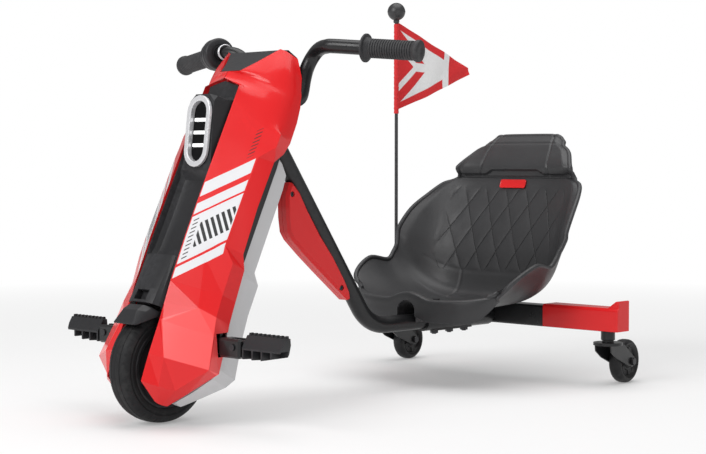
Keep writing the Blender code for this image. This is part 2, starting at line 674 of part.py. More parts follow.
# Seat, given by rows from the front skirt back over the pan and up the backrest. A row holds
# (forward, up) of its middle, half width, and how far its ends stand forward and up of the middle.
def seat_rows():
    pan = SEAT_PAN_HEIGHT
    wide = SEAT_HALF_WIDTH
    return [
        (0.291, pan - 0.0240, 0.155, -0.048, 0.004),
        (0.290, pan - 0.0040, 0.157, -0.047, 0.006),
        (0.287, pan + 0.0120, 0.157, -0.046, 0.008),
        (0.272, pan + 0.0130, 0.160, -0.040, 0.014),
        (0.255, pan + 0.0040, 0.173, -0.022, 0.034),
        (0.225, pan, 0.184, -0.010, 0.055),
        (0.180, pan, wide, -0.004, 0.073),
        (0.135, pan, wide - 0.005, 0.000, 0.068),
        (0.095, pan + 0.002, wide - 0.004, 0.022, 0.080),
        (0.070, pan + 0.014, wide - 0.004, 0.038, 0.082),
        (0.058, pan + 0.050, wide - 0.004, 0.046, 0.066),
        (0.046, pan + 0.092, wide - 0.006, 0.052, 0.040),
        (0.026, pan + 0.140, wide - 0.012, 0.046, 0.024),
        (0.006, pan + 0.180, 0.165, 0.032, 0.012),
        (-0.004, pan + 0.206, 0.152, 0.020, 0.004),
        (-0.009, pan + 0.219, 0.129, 0.010, 0.001),
        (-0.007, pan + 0.238, 0.127, 0.012, 0.001),
        (-0.020, pan + 0.265, 0.109, 0.002, 0.000),
        (-0.032, pan + 0.288, 0.084, 0.001, -0.001),
        (-0.038, pan + 0.2940, 0.081, 0.001, -0.002),
        (-0.048, pan + 0.2945, 0.079, 0.001, -0.002),
    ]


def seat_point(row, across):
    """A point of the seat's upper face; across runs from -1 on the right to 1 on the left."""
    forward, up, half, swing, rise = row
    bend = abs(across) ** 4.0
    hump = 0.0
    if forward > 0.260:
        hump = SEAT_HUMP_RISE * max(0.0, 1.0 - (half * across / SEAT_HUMP_HALF) ** 2) ** 2
    return kart(forward + swing * bend, half * across, up + hump + rise * bend)


def seat():
    rows = seat_rows()
    columns = 16
    grid = [[seat_point(row, 2 * index / columns - 1) for index in range(columns + 1)] for row in rows]
    shell = sheet_shell(grid, SEAT_WALL, Vector((0, -1, 1)))
    notch_half = MAIN_TUBE_RADIUS + 0.0060
    notch_up = SEAT_PAN_HEIGHT + 0.0115 - notch_half
    arch = rod_mesh(notch_half, kart(0.330, 0, notch_up), kart(0.276, 0, notch_up), 20)
    slot = box_mesh((2 * notch_half, 0.054, 0.050), kart(0.303, 0, notch_up - 0.025))
    shell = cut_mesh(shell, [join_mesh(arch, [slot])])
    low = rows[6][1] - SEAT_WALL - GAP
    under = low - SEAT_CARRIER_THICKNESS
    over = low + SEAT_WALL + 5 * GAP
    for side, name in ((1, "left"), (-1, "right")):
        spot = kart(SEAT_BOLT_FORWARD, side * SEAT_BOLT_SIDE, 0)
        hole = rod_mesh(SEAT_BOLT_RADIUS + GAP, spot + Vector((0, 0, low - 0.03)),
                        spot + Vector((0, 0, low + 0.03)), 12)
        shell = cut_mesh(shell, [hole])
        shank = rod_mesh(SEAT_BOLT_RADIUS, spot + Vector((0, 0, under - 0.0055)),
                         spot + Vector((0, 0, over + 0.001)), 12)
        head = rod_mesh(2 * SEAT_BOLT_RADIUS, spot + Vector((0, 0, over)), spot + Vector((0, 0, over + 0.003)), 14)
        nut = rod_mesh(1.8 * SEAT_BOLT_RADIUS, spot + Vector((0, 0, under - 0.0048)),
                       spot + Vector((0, 0, under - GAP)), 6)
        add_object("seat_bolt_" + name, join_mesh(shank, [head, nut]), ZINC, metallic=0.9)
    add_object("seat_shell", shell, BLACK, smooth=45)
    seat_carrier(low)
    headrest_badge()


def seat_carrier(top):
    """Steel saddle welded over the sleeve; the seat is bolted on its flat top."""
    plate = box_mesh((0.110, 0.140, SEAT_CARRIER_THICKNESS), kart(0.165, 0, top - SEAT_CARRIER_THICKNESS / 2))
    foot_top = top - SEAT_CARRIER_THICKNESS + 0.001
    foot = box_mesh((0.020, 0.090, foot_top - MAIN_TUBE_HEIGHT),
                    kart(0.165, 0, (foot_top + MAIN_TUBE_HEIGHT) / 2))
    whole = join_mesh(plate, [foot])
    around = rod_mesh(sleeve_outer() + GAP, kart(0.30, 0, MAIN_TUBE_HEIGHT), kart(0.02, 0, MAIN_TUBE_HEIGHT), 32)
    holes = [rod_mesh(SEAT_BOLT_RADIUS + GAP, kart(SEAT_BOLT_FORWARD, side * SEAT_BOLT_SIDE, top - 0.02),
                      kart(SEAT_BOLT_FORWARD, side * SEAT_BOLT_SIDE, top + 0.02), 12) for side in (-1, 1)]
    add_object("seat_carrier", keep_largest(cut_mesh(whole, [around, *holes])), STEEL_BLACK, metallic=0.5)


def headrest_badge():
    """Small red moulded badge, left plain, standing on the face of the headrest."""
    rows = seat_rows()
    low, high = seat_point(rows[13], 0.0), seat_point(rows[14], 0.0)
    facing = (high - low).cross(Vector((1, 0, 0))).normalized()
    if facing.y > 0:
        facing.negate()
    rise = (high - low).normalized()
    centre = (low + high) / 2 + rise * BADGE_RISE + facing * (0.0012 + 0.0012)
    outline = rounded_outline([(-0.029, -0.0080), (0.029, -0.0080), (0.029, 0.0080), (-0.029, 0.0080)], 0.004)
    mesh = outline_mesh(outline, -0.0012, 0.0012)
    frame = Matrix((Vector((1, 0, 0)), rise, Vector((1, 0, 0)).cross(rise))).transposed().to_4x4()
    mesh = moved(mesh, Matrix.Translation(centre) @ frame)
    add_object("headrest_badge", mesh, RED)


def flag():
    """Safety flag in the boss of the right end cover: pole, ball, sleeve and pennant."""
    place = kart(BEAM_FORWARD, FLAG_SIDE, 0.0)

    def up(height):
        return place + Vector((0, 0, height))

    pole_low = BEAM_CENTRE_UP + BEAM_HEIGHT / 2 + GAP
    add_object("flag_pole", rod_mesh(FLAG_POLE_RADIUS, up(pole_low), up(FLAG_TOP - 0.012), 16), BLACK, smooth=40)
    ball = bmesh.new()
    bmesh.ops.create_uvsphere(ball, u_segments=16, v_segments=10, radius=FLAG_BALL_RADIUS)
    ball = moved(mesh_from(ball), Matrix.Translation(up(FLAG_TOP)))
    socket = rod_mesh(FLAG_POLE_RADIUS + GAP, up(FLAG_TOP - 0.030), up(FLAG_TOP - 0.012 + GAP), 16)
    add_object("flag_ball", cut_mesh(ball, [socket]), BLACK, smooth=40)
    sleeve_low, sleeve_high = FLAG_TOP - 0.192, FLAG_TOP - FLAG_BALL_RADIUS - 0.001
    sleeve = [(FLAG_POLE_RADIUS + GAP, sleeve_low), (FLAG_POLE_RADIUS + 0.0014, sleeve_low),
              (FLAG_POLE_RADIUS + 0.0014, sleeve_high), (FLAG_POLE_RADIUS + GAP, sleeve_high)]
    add_object("flag_sleeve", turned_mesh(sleeve, (place.x, place.y, 0), (0, 0, 1), 16), RED, smooth=40)
    high = FLAG_TOP - 0.020
    rows = []
    steps = 11
    start = FLAG_POLE_RADIUS + 0.0014 + GAP
    for level in range(6):
        row = []
        for step in range(steps + 1):
            run = step / steps
            top_edge = high - FLAG_HEIGHT * 0.47 * run
            low_edge = high - FLAG_HEIGHT + FLAG_HEIGHT * 0.45 * run
            wave = 0.0045 * math.sin(1.6 * math.pi * run) * run ** 0.5
            height = low_edge + (top_edge - low_edge) * level / 5
            row.append(Vector((place.x + wave, place.y + start + FLAG_LENGTH * run, height)))
        rows.append(row)
    add_object("flag_cloth", sheet_shell(rows, FLAG_THICKNESS, Vector((1, 0, 0))), RED, smooth=60)


# Bodywork that steers. Rows run from top to bottom on the left side; each holds places as
# (side, front, along): inner return, inner edge, facet break, crease and rear edge.
def body_rows():
    side, deep = SPINE_HALF_WIDTH, SPINE_DEPTH
    rows = [
        [(0.058, 0.035, 0.504), (0.066, 0.030, 0.503), (0.073, 0.024, 0.500), (0.080, 0.014, 0.497)],
        [(0.036, 0.053, 0.472), (0.066, 0.042, 0.472), (0.091, 0.029, 0.472), (0.091, 0.004, 0.470)],
        [(0.0220, 0.0655, 0.452), (0.064, 0.0455, 0.453), (0.0950, 0.0250, 0.452), (0.094, -0.001, 0.450)],
        [(0.0004, 0.0690, 0.4505), (0.062, 0.0460, 0.447), (0.0975, 0.023, 0.445), (0.096, -0.003, 0.443)],
        [(0.0004, deep + 0.001, 0.438), (0.066, 0.048, 0.434), (0.100, 0.0225, 0.432),
         (0.097, -0.005, 0.432)],
        [(side, deep, 0.425), (0.070, 0.048, 0.425), (0.102, 0.0225, 0.425), (0.098, -0.007, 0.425)],
        [(side, deep, 0.400), (0.072, 0.0465, 0.400), (0.106, 0.0220, 0.400), (0.100, -0.009, 0.400)],
        [(side, deep, 0.365), (0.074, 0.0460, 0.365), (0.110, 0.0215, 0.365), (0.102, -0.008, 0.365)],
        [(side, deep, 0.345), (0.074, 0.0460, 0.345), (0.110, 0.0215, 0.345), (0.103, -0.002, 0.345)],
        [(side, deep, 0.322), (0.065, 0.0525, 0.322), (0.094, 0.0345, 0.322), (0.105, 0.012, 0.325)],
        [(side, deep, 0.250), (0.065, 0.0530, 0.250), (0.092, 0.0358, 0.250), (0.105, 0.013, 0.250)],
        [(side, deep - 0.001, 0.180), (0.065, 0.0525, 0.180), (0.092, 0.0358, 0.180), (0.106, 0.010, 0.178)],
        [(side, deep - 0.002, 0.158), (0.070, 0.0475, 0.158), (0.1065, 0.0235, 0.158),
         (0.107, -0.001, 0.158)],
        [(side, deep - 0.004, 0.110), (0.078, 0.0400, 0.110), (0.104, 0.0195, 0.110), (0.106, -0.006, 0.110)],
        [(side, 0.0630, 0.078), (0.085, 0.0385, 0.082), (0.1075, 0.0200, 0.077), (0.1085, -0.007, 0.076)],
        [(side, 0.0605, 0.050), (0.046, 0.0605, 0.050), (0.1145, 0.0185, 0.048), (0.1130, -0.009, 0.048)],
        [(side, 0.0580, 0.000), (0.066, 0.0520, -0.001), (0.1255, 0.0157, -0.001), (0.1190, -0.010, 0.002)],
        [(side, 0.0540, -0.040), (0.059, 0.0370, -0.040), (0.0740, 0.0180, -0.038), (0.0770, -0.002, -0.036)],
        [(side, 0.0180, -0.0575), (0.0410, 0.0130, -0.0590), (0.0440, 0.0070, -0.0592),
         (0.0470, 0.000, -0.0580)],
    ]
    whole = []
    for row in rows:
        inner = row[0]
        back = (inner[0], inner[1] - (0.010 if inner[2] > 0.43 else 0.014), inner[2] - 0.001)
        if inner[2] < -0.05:
            back = (inner[0], inner[1] - 0.010, inner[2] + 0.002)
        whole.append([back, *row])
    return whole


def side_shells():
    """Red panel, grey rear shell and black frame of each body half, around the peg bracket's way out."""
    red_rows = [[column(*place) for place in row] for row in body_rows()]
    red = sheet_shell(red_rows, PANEL_WALL, Vector((1, -1, 0)))
    wall = INNER_WALL_SIDE
    grey_rows = []
    for along, front, l_front, l_back, back, low in (
            (0.338, -0.006, 0.0935, 0.086, -0.020, -0.022), (0.322, -0.0055, 0.0950, 0.0955, -0.0265, -0.032),
            (0.300, -0.0045, 0.0960, 0.0965, -0.0290, -0.036), (0.165, -0.0045, 0.0965, 0.0980, -0.0290, -0.037),
            (0.150, -0.0045, 0.1015, 0.1000, -0.0420, -0.048), (0.104, -0.0090, 0.1015, 0.1000, -0.0425, -0.050),
            (0.070, -0.0120, 0.1040, 0.1000, -0.0465, -0.056), (0.035, -0.0140, 0.1070, 0.1000, -0.0540, -0.062),
            (0.010, -0.0150, 0.1110, 0.0990, -0.0600, -0.066), (-0.005, -0.0130, 0.1060, 0.0950, -0.0520, -0.058),
            (-0.030, -0.0090, 0.0800, 0.0760, -0.0330, -0.040), (-0.050, -0.0060, 0.0530, 0.0510, -0.0180, -0.024)):
        grey_rows.append([column(l_front, front, along), column(l_back, back, along),
                          column(wall + 0.006, low, along), column(wall, low + 0.006, along),
                          column(wall, front - 0.0035, along)])
    grey = sheet_shell(grey_rows, PANEL_WALL, Vector((1, 1, 0)))
    frame_rows = []
    for along, l_rib, edge in ((0.342, 0.0965, 0.010), (0.322, 0.0975, 0.0125), (0.250, 0.0980, 0.0150),
                               (0.178, 0.0985, 0.0130), (0.160, 0.0985, 0.0020), (0.110, 0.0975, -0.0010),
                               (0.070, 0.0990, -0.0030), (0.035, 0.1030, -0.0040), (0.008, 0.1060, -0.0060),
                               (-0.030, 0.0720, -0.0030), (-0.044, 0.0540, -0.0020)):
        rib = -0.0030 if along > 0.15 else -0.0060 if along > 0.08 else -0.0085
        frame_rows.append([column(wall, 0.048 if along > 0 else 0.040 if along > -0.035 else 0.012, along),
                           column(wall, rib + 0.004, along), column(wall + 0.004, rib, along),
                           column(l_rib, rib, along), column(l_rib + 0.001, max(edge, rib + 0.003), along)])
    frame = sheet_shell(frame_rows, INNER_WALL, Vector((-1, 1, 0)))
    return red, grey, frame


def peg_frame(side):
    """Guide at a peg's pin, level with the world while the rest of the column leans."""
    place = Vector((side * PEG_PIVOT_SIDE, -peg_front(), peg_along()))
    return empty("peg_pin_line_" + ("left" if side > 0 else "right"), place, (RAKE, 0.0, 0.0), STEER)


def peg_front():
    forward, up = PEG_FORWARD - WHEELBASE, PEG_UP - TYRE_RADIUS
    return forward * math.cos(RAKE) + up * math.sin(RAKE)


def peg_along():
    forward, up = PEG_FORWARD - WHEELBASE, PEG_UP - TYRE_RADIUS
    return -forward * math.sin(RAKE) + up * math.cos(RAKE)


def pegs_and_shells():
    """Foot pegs with their brackets, and the body shells that the brackets pass through."""
    red, grey, frame = side_shells()
    level = Matrix.Translation((PEG_PIVOT_SIDE, -peg_front(), peg_along())) @ Matrix.Rotation(RAKE, 4, "X")
    start = fork_leg_side() + FORK_LEG_THICKNESS + GAP - PEG_PIVOT_SIDE
    arm_depth, arm_height = 0.018, 0.022
    way = moved(box_mesh((0.110, arm_depth + 0.0012, arm_height + 0.0012), (start + 0.055, 0, 0)), level)
    block_way = moved(box_mesh((0.060, 0.0275, 0.0335), (-0.016, 0, 0)), level)
    red = cut_mesh(red, [way, block_way])
    grey = cut_mesh(grey, [way, block_way])
    frame = cut_mesh(frame, [way, block_way])
    for name, mesh, look in (("body_panel", red, RED), ("rear_shell", grey, GREY), ("inner_frame", frame, BLACK)):
        mesh = keep_largest(mesh)
        add_object(name + "_left", mesh, look, STEER)
        add_object(name + "_right", mirrored(mesh), look, STEER)
    for side, name in ((1, "left"), (-1, "right")):
        arm = box_mesh((0.100, arm_depth, arm_height), (start + 0.050, 0, 0), 0.002)
        block = box_mesh((0.044, 0.026, 0.0275), (-0.0085, 0, -0.0020), 0.003)
        slot = box_mesh((0.034, 0.0108, 0.05), (0.0030, 0, 0))
        pin_hole = rod_mesh(PEG_PIN_RADIUS + GAP, (0, -0.03, 0), (0, 0.03, 0), 16)
        bracket = cut_mesh(join_mesh(arm, [block]), [slot, pin_hole])
        guide = peg_frame(side)
        add_object("peg_bracket_" + name, bracket if side > 0 else mirrored(bracket), STEEL_BLACK, guide, 0.5)
        peg = peg_mesh(pin_hole.copy())
        hinge = empty("peg_hinge_" + name, (0, 0, 0), parent=guide)
        add_object("peg_" + name, peg if side > 0 else mirrored(peg), BLACK, hinge)
        pin = join_mesh(rod_mesh(PEG_PIN_RADIUS, (0, -0.0148, 0), (0, 0.0148, 0), 16),
                        [rod_mesh(0.0048, (0, sign * (0.013 + GAP), 0), (0, sign * 0.0152, 0), 16)
                         for sign in (-1, 1)])
        add_object("peg_pin_" + name, pin, ZINC, guide, 0.9)


def peg_mesh(pin_hole):
    """Peg of the left side about its pin: tongue, hollow body with ribs, and a toothed tread."""
    inner, outer = 0.0175, PEG_OUTER - PEG_PIVOT_SIDE
    section = [(-0.011, -0.015), (0.006, -0.016), (0.009, -0.004), (0.007, 0.018), (-0.001, 0.018), (-0.011, 0.001)]
    body = outline_mesh(section, inner, outer, "YZ")
    tongue = box_mesh((inner + 0.014, 0.0098, 0.018), ((inner + 0.004 - 0.008) / 2, 0, 0.001), 0.002)
    pockets = []
    ribs = 4
    width = (outer - inner - 0.003) / ribs
    for index in range(ribs):
        low = inner + 0.003 + index * width
        pocket = [(-0.030, -0.0020), (-0.0090, -0.0020), (0.0000, 0.0125), (0.0042, 0.0125), (0.0060, -0.0040),
                  (0.0030, -0.0300), (-0.030, -0.0300)]
        pockets.append(outline_mesh(pocket, low, low + width - 0.003, "YZ"))
    teeth = []
    count = 9
    pitch = (outer - inner) / count
    for index in range(count):
        middle = inner + (index + 0.5) * pitch
        tooth = [(middle - pitch * 0.36, 0.0150), (middle + pitch * 0.36, 0.0150), (middle + pitch * 0.18, 0.0215),
                 (middle - pitch * 0.18, 0.0215)]
        teeth.append(outline_mesh(tooth, 0.0005, 0.0062, "XZ"))
    corner = outline_mesh([(outer + 0.01, -0.03), (inner + 0.030, -0.03), (inner + 0.030, -0.0162),
                           (outer - 0.006, -0.0085), (outer + 0.0005, 0.010), (outer + 0.01, 0.010)],
                          -0.03, 0.05, "XZ")
    body = join_mesh(body, [tongue])
    body = cut_mesh(body, pockets)
    body = join_mesh(body, teeth)
    return cut_mesh(body, [corner, pin_hole])


# Middle of the column: spine cover, mudguard, lamp, dash, and what they hide
def lamp_tilt():
    """Angle between the lamp's face and the column."""
    return math.atan(0.0345 / 0.1005)


def lamp_face(along):
    """How far forward the lamp housing's flat face stands."""
    return 0.0625 + (along - LAMP_LOW) * math.tan(lamp_tilt())


def spine_cover():
    edge = SPINE_HALF_WIDTH - 0.0009
    face_half = LAMP_HALF_WIDTH + 0.0008
    top_face, low_face = lamp_face(LAMP_HIGH + 0.002), lamp_face(LAMP_LOW - 0.004)
    sides = (edge, edge - 0.0028, 0.0325, face_half, 0.0150, 0.0)
    rows = []
    for along, at_edge, at_wall, at_face, middle, rise in (
            (0.4235, 0.0665, 0.0665, 0.0670, 0.0675, 0.0110),
            (0.4080, 0.0665, 0.0650, 0.0640, 0.0635, 0.0),
            (0.4010, 0.0665, 0.0655, 0.0660, 0.0660, 0.0),
            (LAMP_HIGH + 0.002, 0.0665, 0.0780, top_face - 0.007, top_face, 0.0),
            (LAMP_HIGH - 0.008, 0.0665, 0.0780, lamp_face(LAMP_HIGH - 0.008), lamp_face(LAMP_HIGH - 0.008), 0.0),
            (LAMP_LOW - 0.004, 0.0665, 0.0620, low_face, low_face, 0.0),
            (0.2760, 0.0665, 0.0585, 0.0530, 0.0500, 0.0), (0.2200, 0.0665, 0.0585, 0.0520, 0.0490, 0.0),
            (0.1640, 0.0660, 0.0585, 0.0530, 0.0500, 0.0), (0.1530, 0.0655, 0.0610, 0.0560, 0.0520, 0.0),
            (0.1480, 0.0650, 0.0670, 0.0685, 0.0700, 0.0), (0.0930, 0.0620, 0.0675, 0.0720, 0.0755, 0.0),
            (0.0700, 0.0590, 0.0655, 0.0735, 0.0775, 0.0)):
        fronts = (at_edge, at_edge, at_wall, at_face, middle, middle)
        half = [column(side, front, along + rise * (1 - side / edge)) for side, front in zip(sides, fronts)]
        rows.append([Vector((-p.x, p.y, p.z)) for p in half[:-1]] + half[::-1])
    shell = sheet_shell(rows, 0.0028, Vector((0, -1, 0)))
    pocket = box_mesh((0.026, 0.020, 0.016), column(0.0, 0.0855, 0.0820))
    tray = box_mesh((0.030, 0.014, 0.020), column(0.0, 0.0688, 0.0820))
    window = moved(outline_mesh(stadium(*lamp_socket(GAP)), -0.02, 0.02), lamp_place())
    shell = cut_mesh(join_mesh(shell, [tray]), [pocket, window])
    add_object("spine_cover", shell, BLACK, STEER, smooth=30)


def mudguard():
    rows = []
    for corner, shoulder, ridge in (((0.0300, 0.0560, 0.0640), (0.0250, 0.0700, 0.0655), (0.0150, 0.0790, 0.0655)),
                                    ((0.0305, 0.0580, 0.0560), (0.0265, 0.0790, 0.0560), (0.0154, 0.0870, 0.0540)),
                                    ((0.0300, 0.0720, 0.0450), (0.0262, 0.0850, 0.0330), (0.0220, 0.0905, 0.0310))):
        half = [corner, shoulder, ridge]
        left = [column(*place) for place in half]
        right = [column(-side, front, along) for side, front, along in reversed(half)]
        rows.append(left + right)
    shell = sheet_shell(rows, 0.0026, Vector((0, -1, 0.6)))
    add_object("mudguard", shell, BLACK, STEER)


def stadium(half_width, half_length, steps=10):
    straight = half_length - half_width
    return (arc((0.0, straight), half_width, 0.0, 180.0, steps)
            + arc((0.0, -straight), half_width, 180.0, 360.0, steps))


def lamp_length():
    return (LAMP_HIGH - LAMP_LOW) / 2 / math.cos(lamp_tilt())


def lamp_socket(clearance):
    """Half width and half length of the collar by which the ring sits in the spine cover."""
    inset = LAMP_COLLAR_INSET - clearance
    return LAMP_HALF_WIDTH - inset, lamp_length() - inset


def lamp_place():
    """Turns a drawing of the lamp's face into its place on the column."""
    tilt = lamp_tilt()
    up = Vector((0.0, -math.sin(tilt), math.cos(tilt)))
    across = Vector((1.0, 0.0, 0.0))
    frame = Matrix((across, up, across.cross(up))).transposed().to_4x4()
    middle = (LAMP_LOW + LAMP_HIGH) / 2
    return Matrix.Translation(column(0.0, lamp_face(middle), middle)) @ frame


def lamp():
    """Silver ring with its collar; inside it a dark mask and a light guide with three bars."""
    place = lamp_place()
    ring = outline_mesh(stadium(LAMP_HALF_WIDTH, lamp_length()), GAP, 0.0060)
    collar = outline_mesh(stadium(*lamp_socket(0.0)), -0.0065, 0.0020)
    inner = (LAMP_HALF_WIDTH - LAMP_RING_WIDTH, lamp_length() - LAMP_RING_WIDTH)
    ring = cut_mesh(join_mesh(ring, [collar]), [outline_mesh(stadium(*inner), -0.02, 0.02)])
    add_object("lamp_ring", moved(ring, place), SILVER, STEER, 0.7, smooth=35)
    fit = (inner[0] - GAP, inner[1] - GAP)
    mask = outline_mesh(stadium(*fit), -0.0034, -0.0020)
    guide = outline_mesh(stadium(*fit), -0.0055, -0.0034 - GAP)
    bars = []
    slots = []
    width = 2 * fit[0] - 0.004
    for height in (0.0178, -0.0013, -0.0204):
        bars.append(box_mesh((width, 0.0050, 0.0036), (0.0, height, -0.0030)))
        slots.append(box_mesh((width + 2 * GAP, 0.0050 + 2 * GAP, 0.01), (0.0, height, -0.0030)))
    add_object("lamp_mask", moved(cut_mesh(mask, slots), place), STEEL_BLACK, STEER, smooth=35)
    add_object("light_guide", moved(join_mesh(guide, bars), place), WHITE, STEER)


def dash():
    """Black cover between the two red fins, with the power button in its roof."""
    places = ((0.4535, 0.0645, 0.0215), (0.4740, 0.0505, 0.0345), (0.5030, 0.0335, 0.0540), (0.5115, 0.0180, 0.0565),
              (0.5105, -0.0050, 0.0550), (0.4990, -0.0200, 0.0530), (0.4820, -0.0300, 0.0510))
    rows = [[column(half * share, front, along) for share in (-1, -0.5, 0, 0.5, 1)]
            for along, front, half in places]
    shell = sheet_shell(rows, 0.0025, Vector((0, -1, 1)))
    roof_front, roof_back = rows[3][2], rows[4][2]
    normal = (roof_front - roof_back).cross(Vector((1, 0, 0))).normalized()
    if normal.z < 0:
        normal.negate()
    spot = (roof_front + roof_back) / 2 + Vector((BUTTON_SIDE, 0, 0))
    axis = empty("power_button_axis", spot, parent=STEER)
    hole = rod_mesh(BUTTON_RADIUS + 0.0004, spot - normal * 0.01, spot + normal * 0.01, 20)
    add_object("dash_cover", cut_mesh(shell, [hole]), BLACK, STEER)
    cap = rod_mesh(BUTTON_RADIUS, normal * -0.0050, normal * 0.0026, 20, 0.0006)
    flange = rod_mesh(BUTTON_RADIUS + 0.0025, normal * -0.0080, normal * -0.0050, 20)
    add_object("power_button", join_mesh(cap, [flange]), RED, axis, smooth=40)


def battery_and_controller():
    battery = box_mesh((0.072, 0.0295, 0.205), column(0.0, -0.03225, 0.2275), 0.003)
    add_object("battery_pack", battery, BLACK, STEER)
    controller = box_mesh((0.030, 0.030, 0.090), column(0.0630, 0.0230, 0.240), 0.002)
    add_object("motor_controller", controller, ZINC, STEER, 0.6)


def bar_route():
    """Left half of the handlebar's centreline, from the middle out: side, front, along."""
    return [(0.0, 0.038, 0.444), (0.030, 0.038, 0.444), (0.050, 0.031, 0.441), (0.066, 0.012, 0.436),
            (0.074, -0.008, 0.438), (0.0785, -0.0160, 0.4470), (0.0768, -0.0172, 0.4600),
            (0.0732, -0.0170, 0.4760), (0.0712, -0.0165, 0.4930), (0.0732, -0.0155, 0.5070),
            (0.0800, -0.0130, 0.5180), (0.0900, -0.0090, 0.5242), (0.1020, -0.0050, 0.5262),
            (0.1140, -0.0028, 0.5262), (0.1250, -0.0036, 0.5267), GRIP_START]


def grip_direction(sign):
    run = Vector(GRIP_END) - Vector(GRIP_START)
    return Vector((sign * run.x, -run.y, run.z)).normalized()


def handlebar():
    left = [column(*place) for place in bar_route()]
    grip_length = (Vector(GRIP_END) - Vector(GRIP_START)).length
    left.append(left[-1] + grip_direction(1) * (grip_length - 0.004))
    right = [Vector((-p.x, p.y, p.z)) for p in reversed(left)]
    add_object("handlebar", tube_mesh(right[:-1] + left, BAR_RADIUS, 3), STEEL_BLACK, STEER, 0.5, smooth=40)
    low = HEAD_CENTRE + HEAD_LENGTH / 2 + BEARING_HEIGHT + 3 * GAP
    high = HEAD_CENTRE + HEAD_LENGTH / 2 + STEERER_ABOVE - 0.001
    link = box_mesh((0.034, 0.058, high - low), column(0.0, 0.010, (low + high) / 2), 0.002)
    front = box_mesh((0.028, 0.023, high - 0.428), column(0.0, 0.0385, (high + 0.428) / 2), 0.002)
    block = join_mesh(link, [front])
    slope = outline_mesh([(-0.062, high + 0.02), (-0.030, high + 0.02), (-0.030, 0.4963), (-0.062, 0.4473)],
                         -0.03, 0.03, "YZ")
    steerer = rod_mesh(STEERER_RADIUS + GAP, (0, 0, 0.40), (0, 0, 0.53), 24)
    bar = rod_mesh(BAR_RADIUS + GAP, column(-0.04, 0.038, 0.444), column(0.04, 0.038, 0.444), 24)
    add_object("bar_clamp", cut_mesh(block, [slope, steerer, bar]), STEEL_BLACK, STEER, 0.5)


def grip_profile(length, flange):
    bore = BAR_RADIUS + GAP
    return [(bore, 0.0), (flange, 0.0), (flange, 0.0035), (GRIP_RADIUS + 0.001, 0.0065), (GRIP_RADIUS, 0.012),
            (GRIP_RADIUS - 0.0005, length * 0.5), (GRIP_RADIUS, length - 0.010),
            (GRIP_RADIUS + 0.0020, length - 0.006), (GRIP_RADIUS + 0.0020, length - 0.001),
            (GRIP_RADIUS + 0.0010, length), (0.0, length), (0.0, length - 0.003), (bore, length - 0.003)]


def grips():
    """Left grip fixed on the bar; the right one twists against the round throttle housing."""
    length = (Vector(GRIP_END) - Vector(GRIP_START)).length
    start = column(*GRIP_START)
    add_object("grip_left", turned_mesh(grip_profile(length, GRIP_FLANGE_RADIUS), start, grip_direction(1), 18),
               RUBBER, STEER, smooth=35)
    inward = -grip_direction(-1)
    split = Vector((-start.x, start.y, start.z)) + inward * THROTTLE_LONGER
    twist = empty("throttle_axis", split, parent=STEER)
    longer = grip_profile(length + THROTTLE_LONGER, GRIP_RADIUS + 0.003)
    add_object("throttle_grip", turned_mesh(longer, (0, 0, 0), grip_direction(-1), 18), RUBBER, twist, smooth=35)
    bore = BAR_RADIUS + 0.0007
    drum, disc = THROTTLE_DRUM_RADIUS, THROTTLE_DISC_RADIUS
    housing = [(bore, 0.0), (drum - 0.002, 0.0), (drum, 0.002), (drum, 0.011), (disc, 0.013), (disc, 0.027),
               (disc - 0.003, 0.0305), (bore, 0.0305)]
    add_object("throttle_housing", turned_mesh(housing, split + inward * 0.001, inward, 24), BLACK, STEER,
               smooth=35)


def build():
    front_wheel()
    fork()
    head_tube_and_bearings()
    main_frame()
    frame_panels()
    rear_sleeve()
    crossbeam()
    end_covers()
    flag()
    casters()
    seat()
    pegs_and_shells()
    spine_cover()
    mudguard()
    lamp()
    dash()
    battery_and_controller()
    handlebar()
    grips()


build()
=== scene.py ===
import json
import logging
import math
from collections.abc import Callable, Iterable, Sequence
from dataclasses import dataclass, field
from enum import Enum

import bmesh
import bpy
from mathutils import Matrix, Vector

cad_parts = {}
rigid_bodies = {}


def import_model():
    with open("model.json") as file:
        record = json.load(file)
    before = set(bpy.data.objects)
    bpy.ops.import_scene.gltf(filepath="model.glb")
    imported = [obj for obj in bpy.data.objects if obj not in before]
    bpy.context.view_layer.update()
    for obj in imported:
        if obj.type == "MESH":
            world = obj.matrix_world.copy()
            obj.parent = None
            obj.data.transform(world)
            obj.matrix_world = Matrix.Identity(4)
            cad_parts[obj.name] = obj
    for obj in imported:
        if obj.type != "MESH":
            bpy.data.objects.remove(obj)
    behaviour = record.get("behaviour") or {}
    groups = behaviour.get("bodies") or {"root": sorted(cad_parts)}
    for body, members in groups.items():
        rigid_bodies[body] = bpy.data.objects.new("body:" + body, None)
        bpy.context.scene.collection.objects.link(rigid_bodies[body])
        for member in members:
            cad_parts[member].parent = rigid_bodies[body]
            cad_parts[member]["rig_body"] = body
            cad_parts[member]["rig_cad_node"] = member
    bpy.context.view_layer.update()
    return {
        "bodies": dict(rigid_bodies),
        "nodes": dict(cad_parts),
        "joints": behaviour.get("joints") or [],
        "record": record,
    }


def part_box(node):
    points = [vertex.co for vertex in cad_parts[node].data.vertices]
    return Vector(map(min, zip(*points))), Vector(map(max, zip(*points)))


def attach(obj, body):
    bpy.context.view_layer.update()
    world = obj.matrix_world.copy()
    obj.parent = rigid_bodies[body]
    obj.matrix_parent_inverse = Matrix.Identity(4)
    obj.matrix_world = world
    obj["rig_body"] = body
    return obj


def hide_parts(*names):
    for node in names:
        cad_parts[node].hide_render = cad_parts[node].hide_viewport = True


LOG = logging.getLogger("kart")

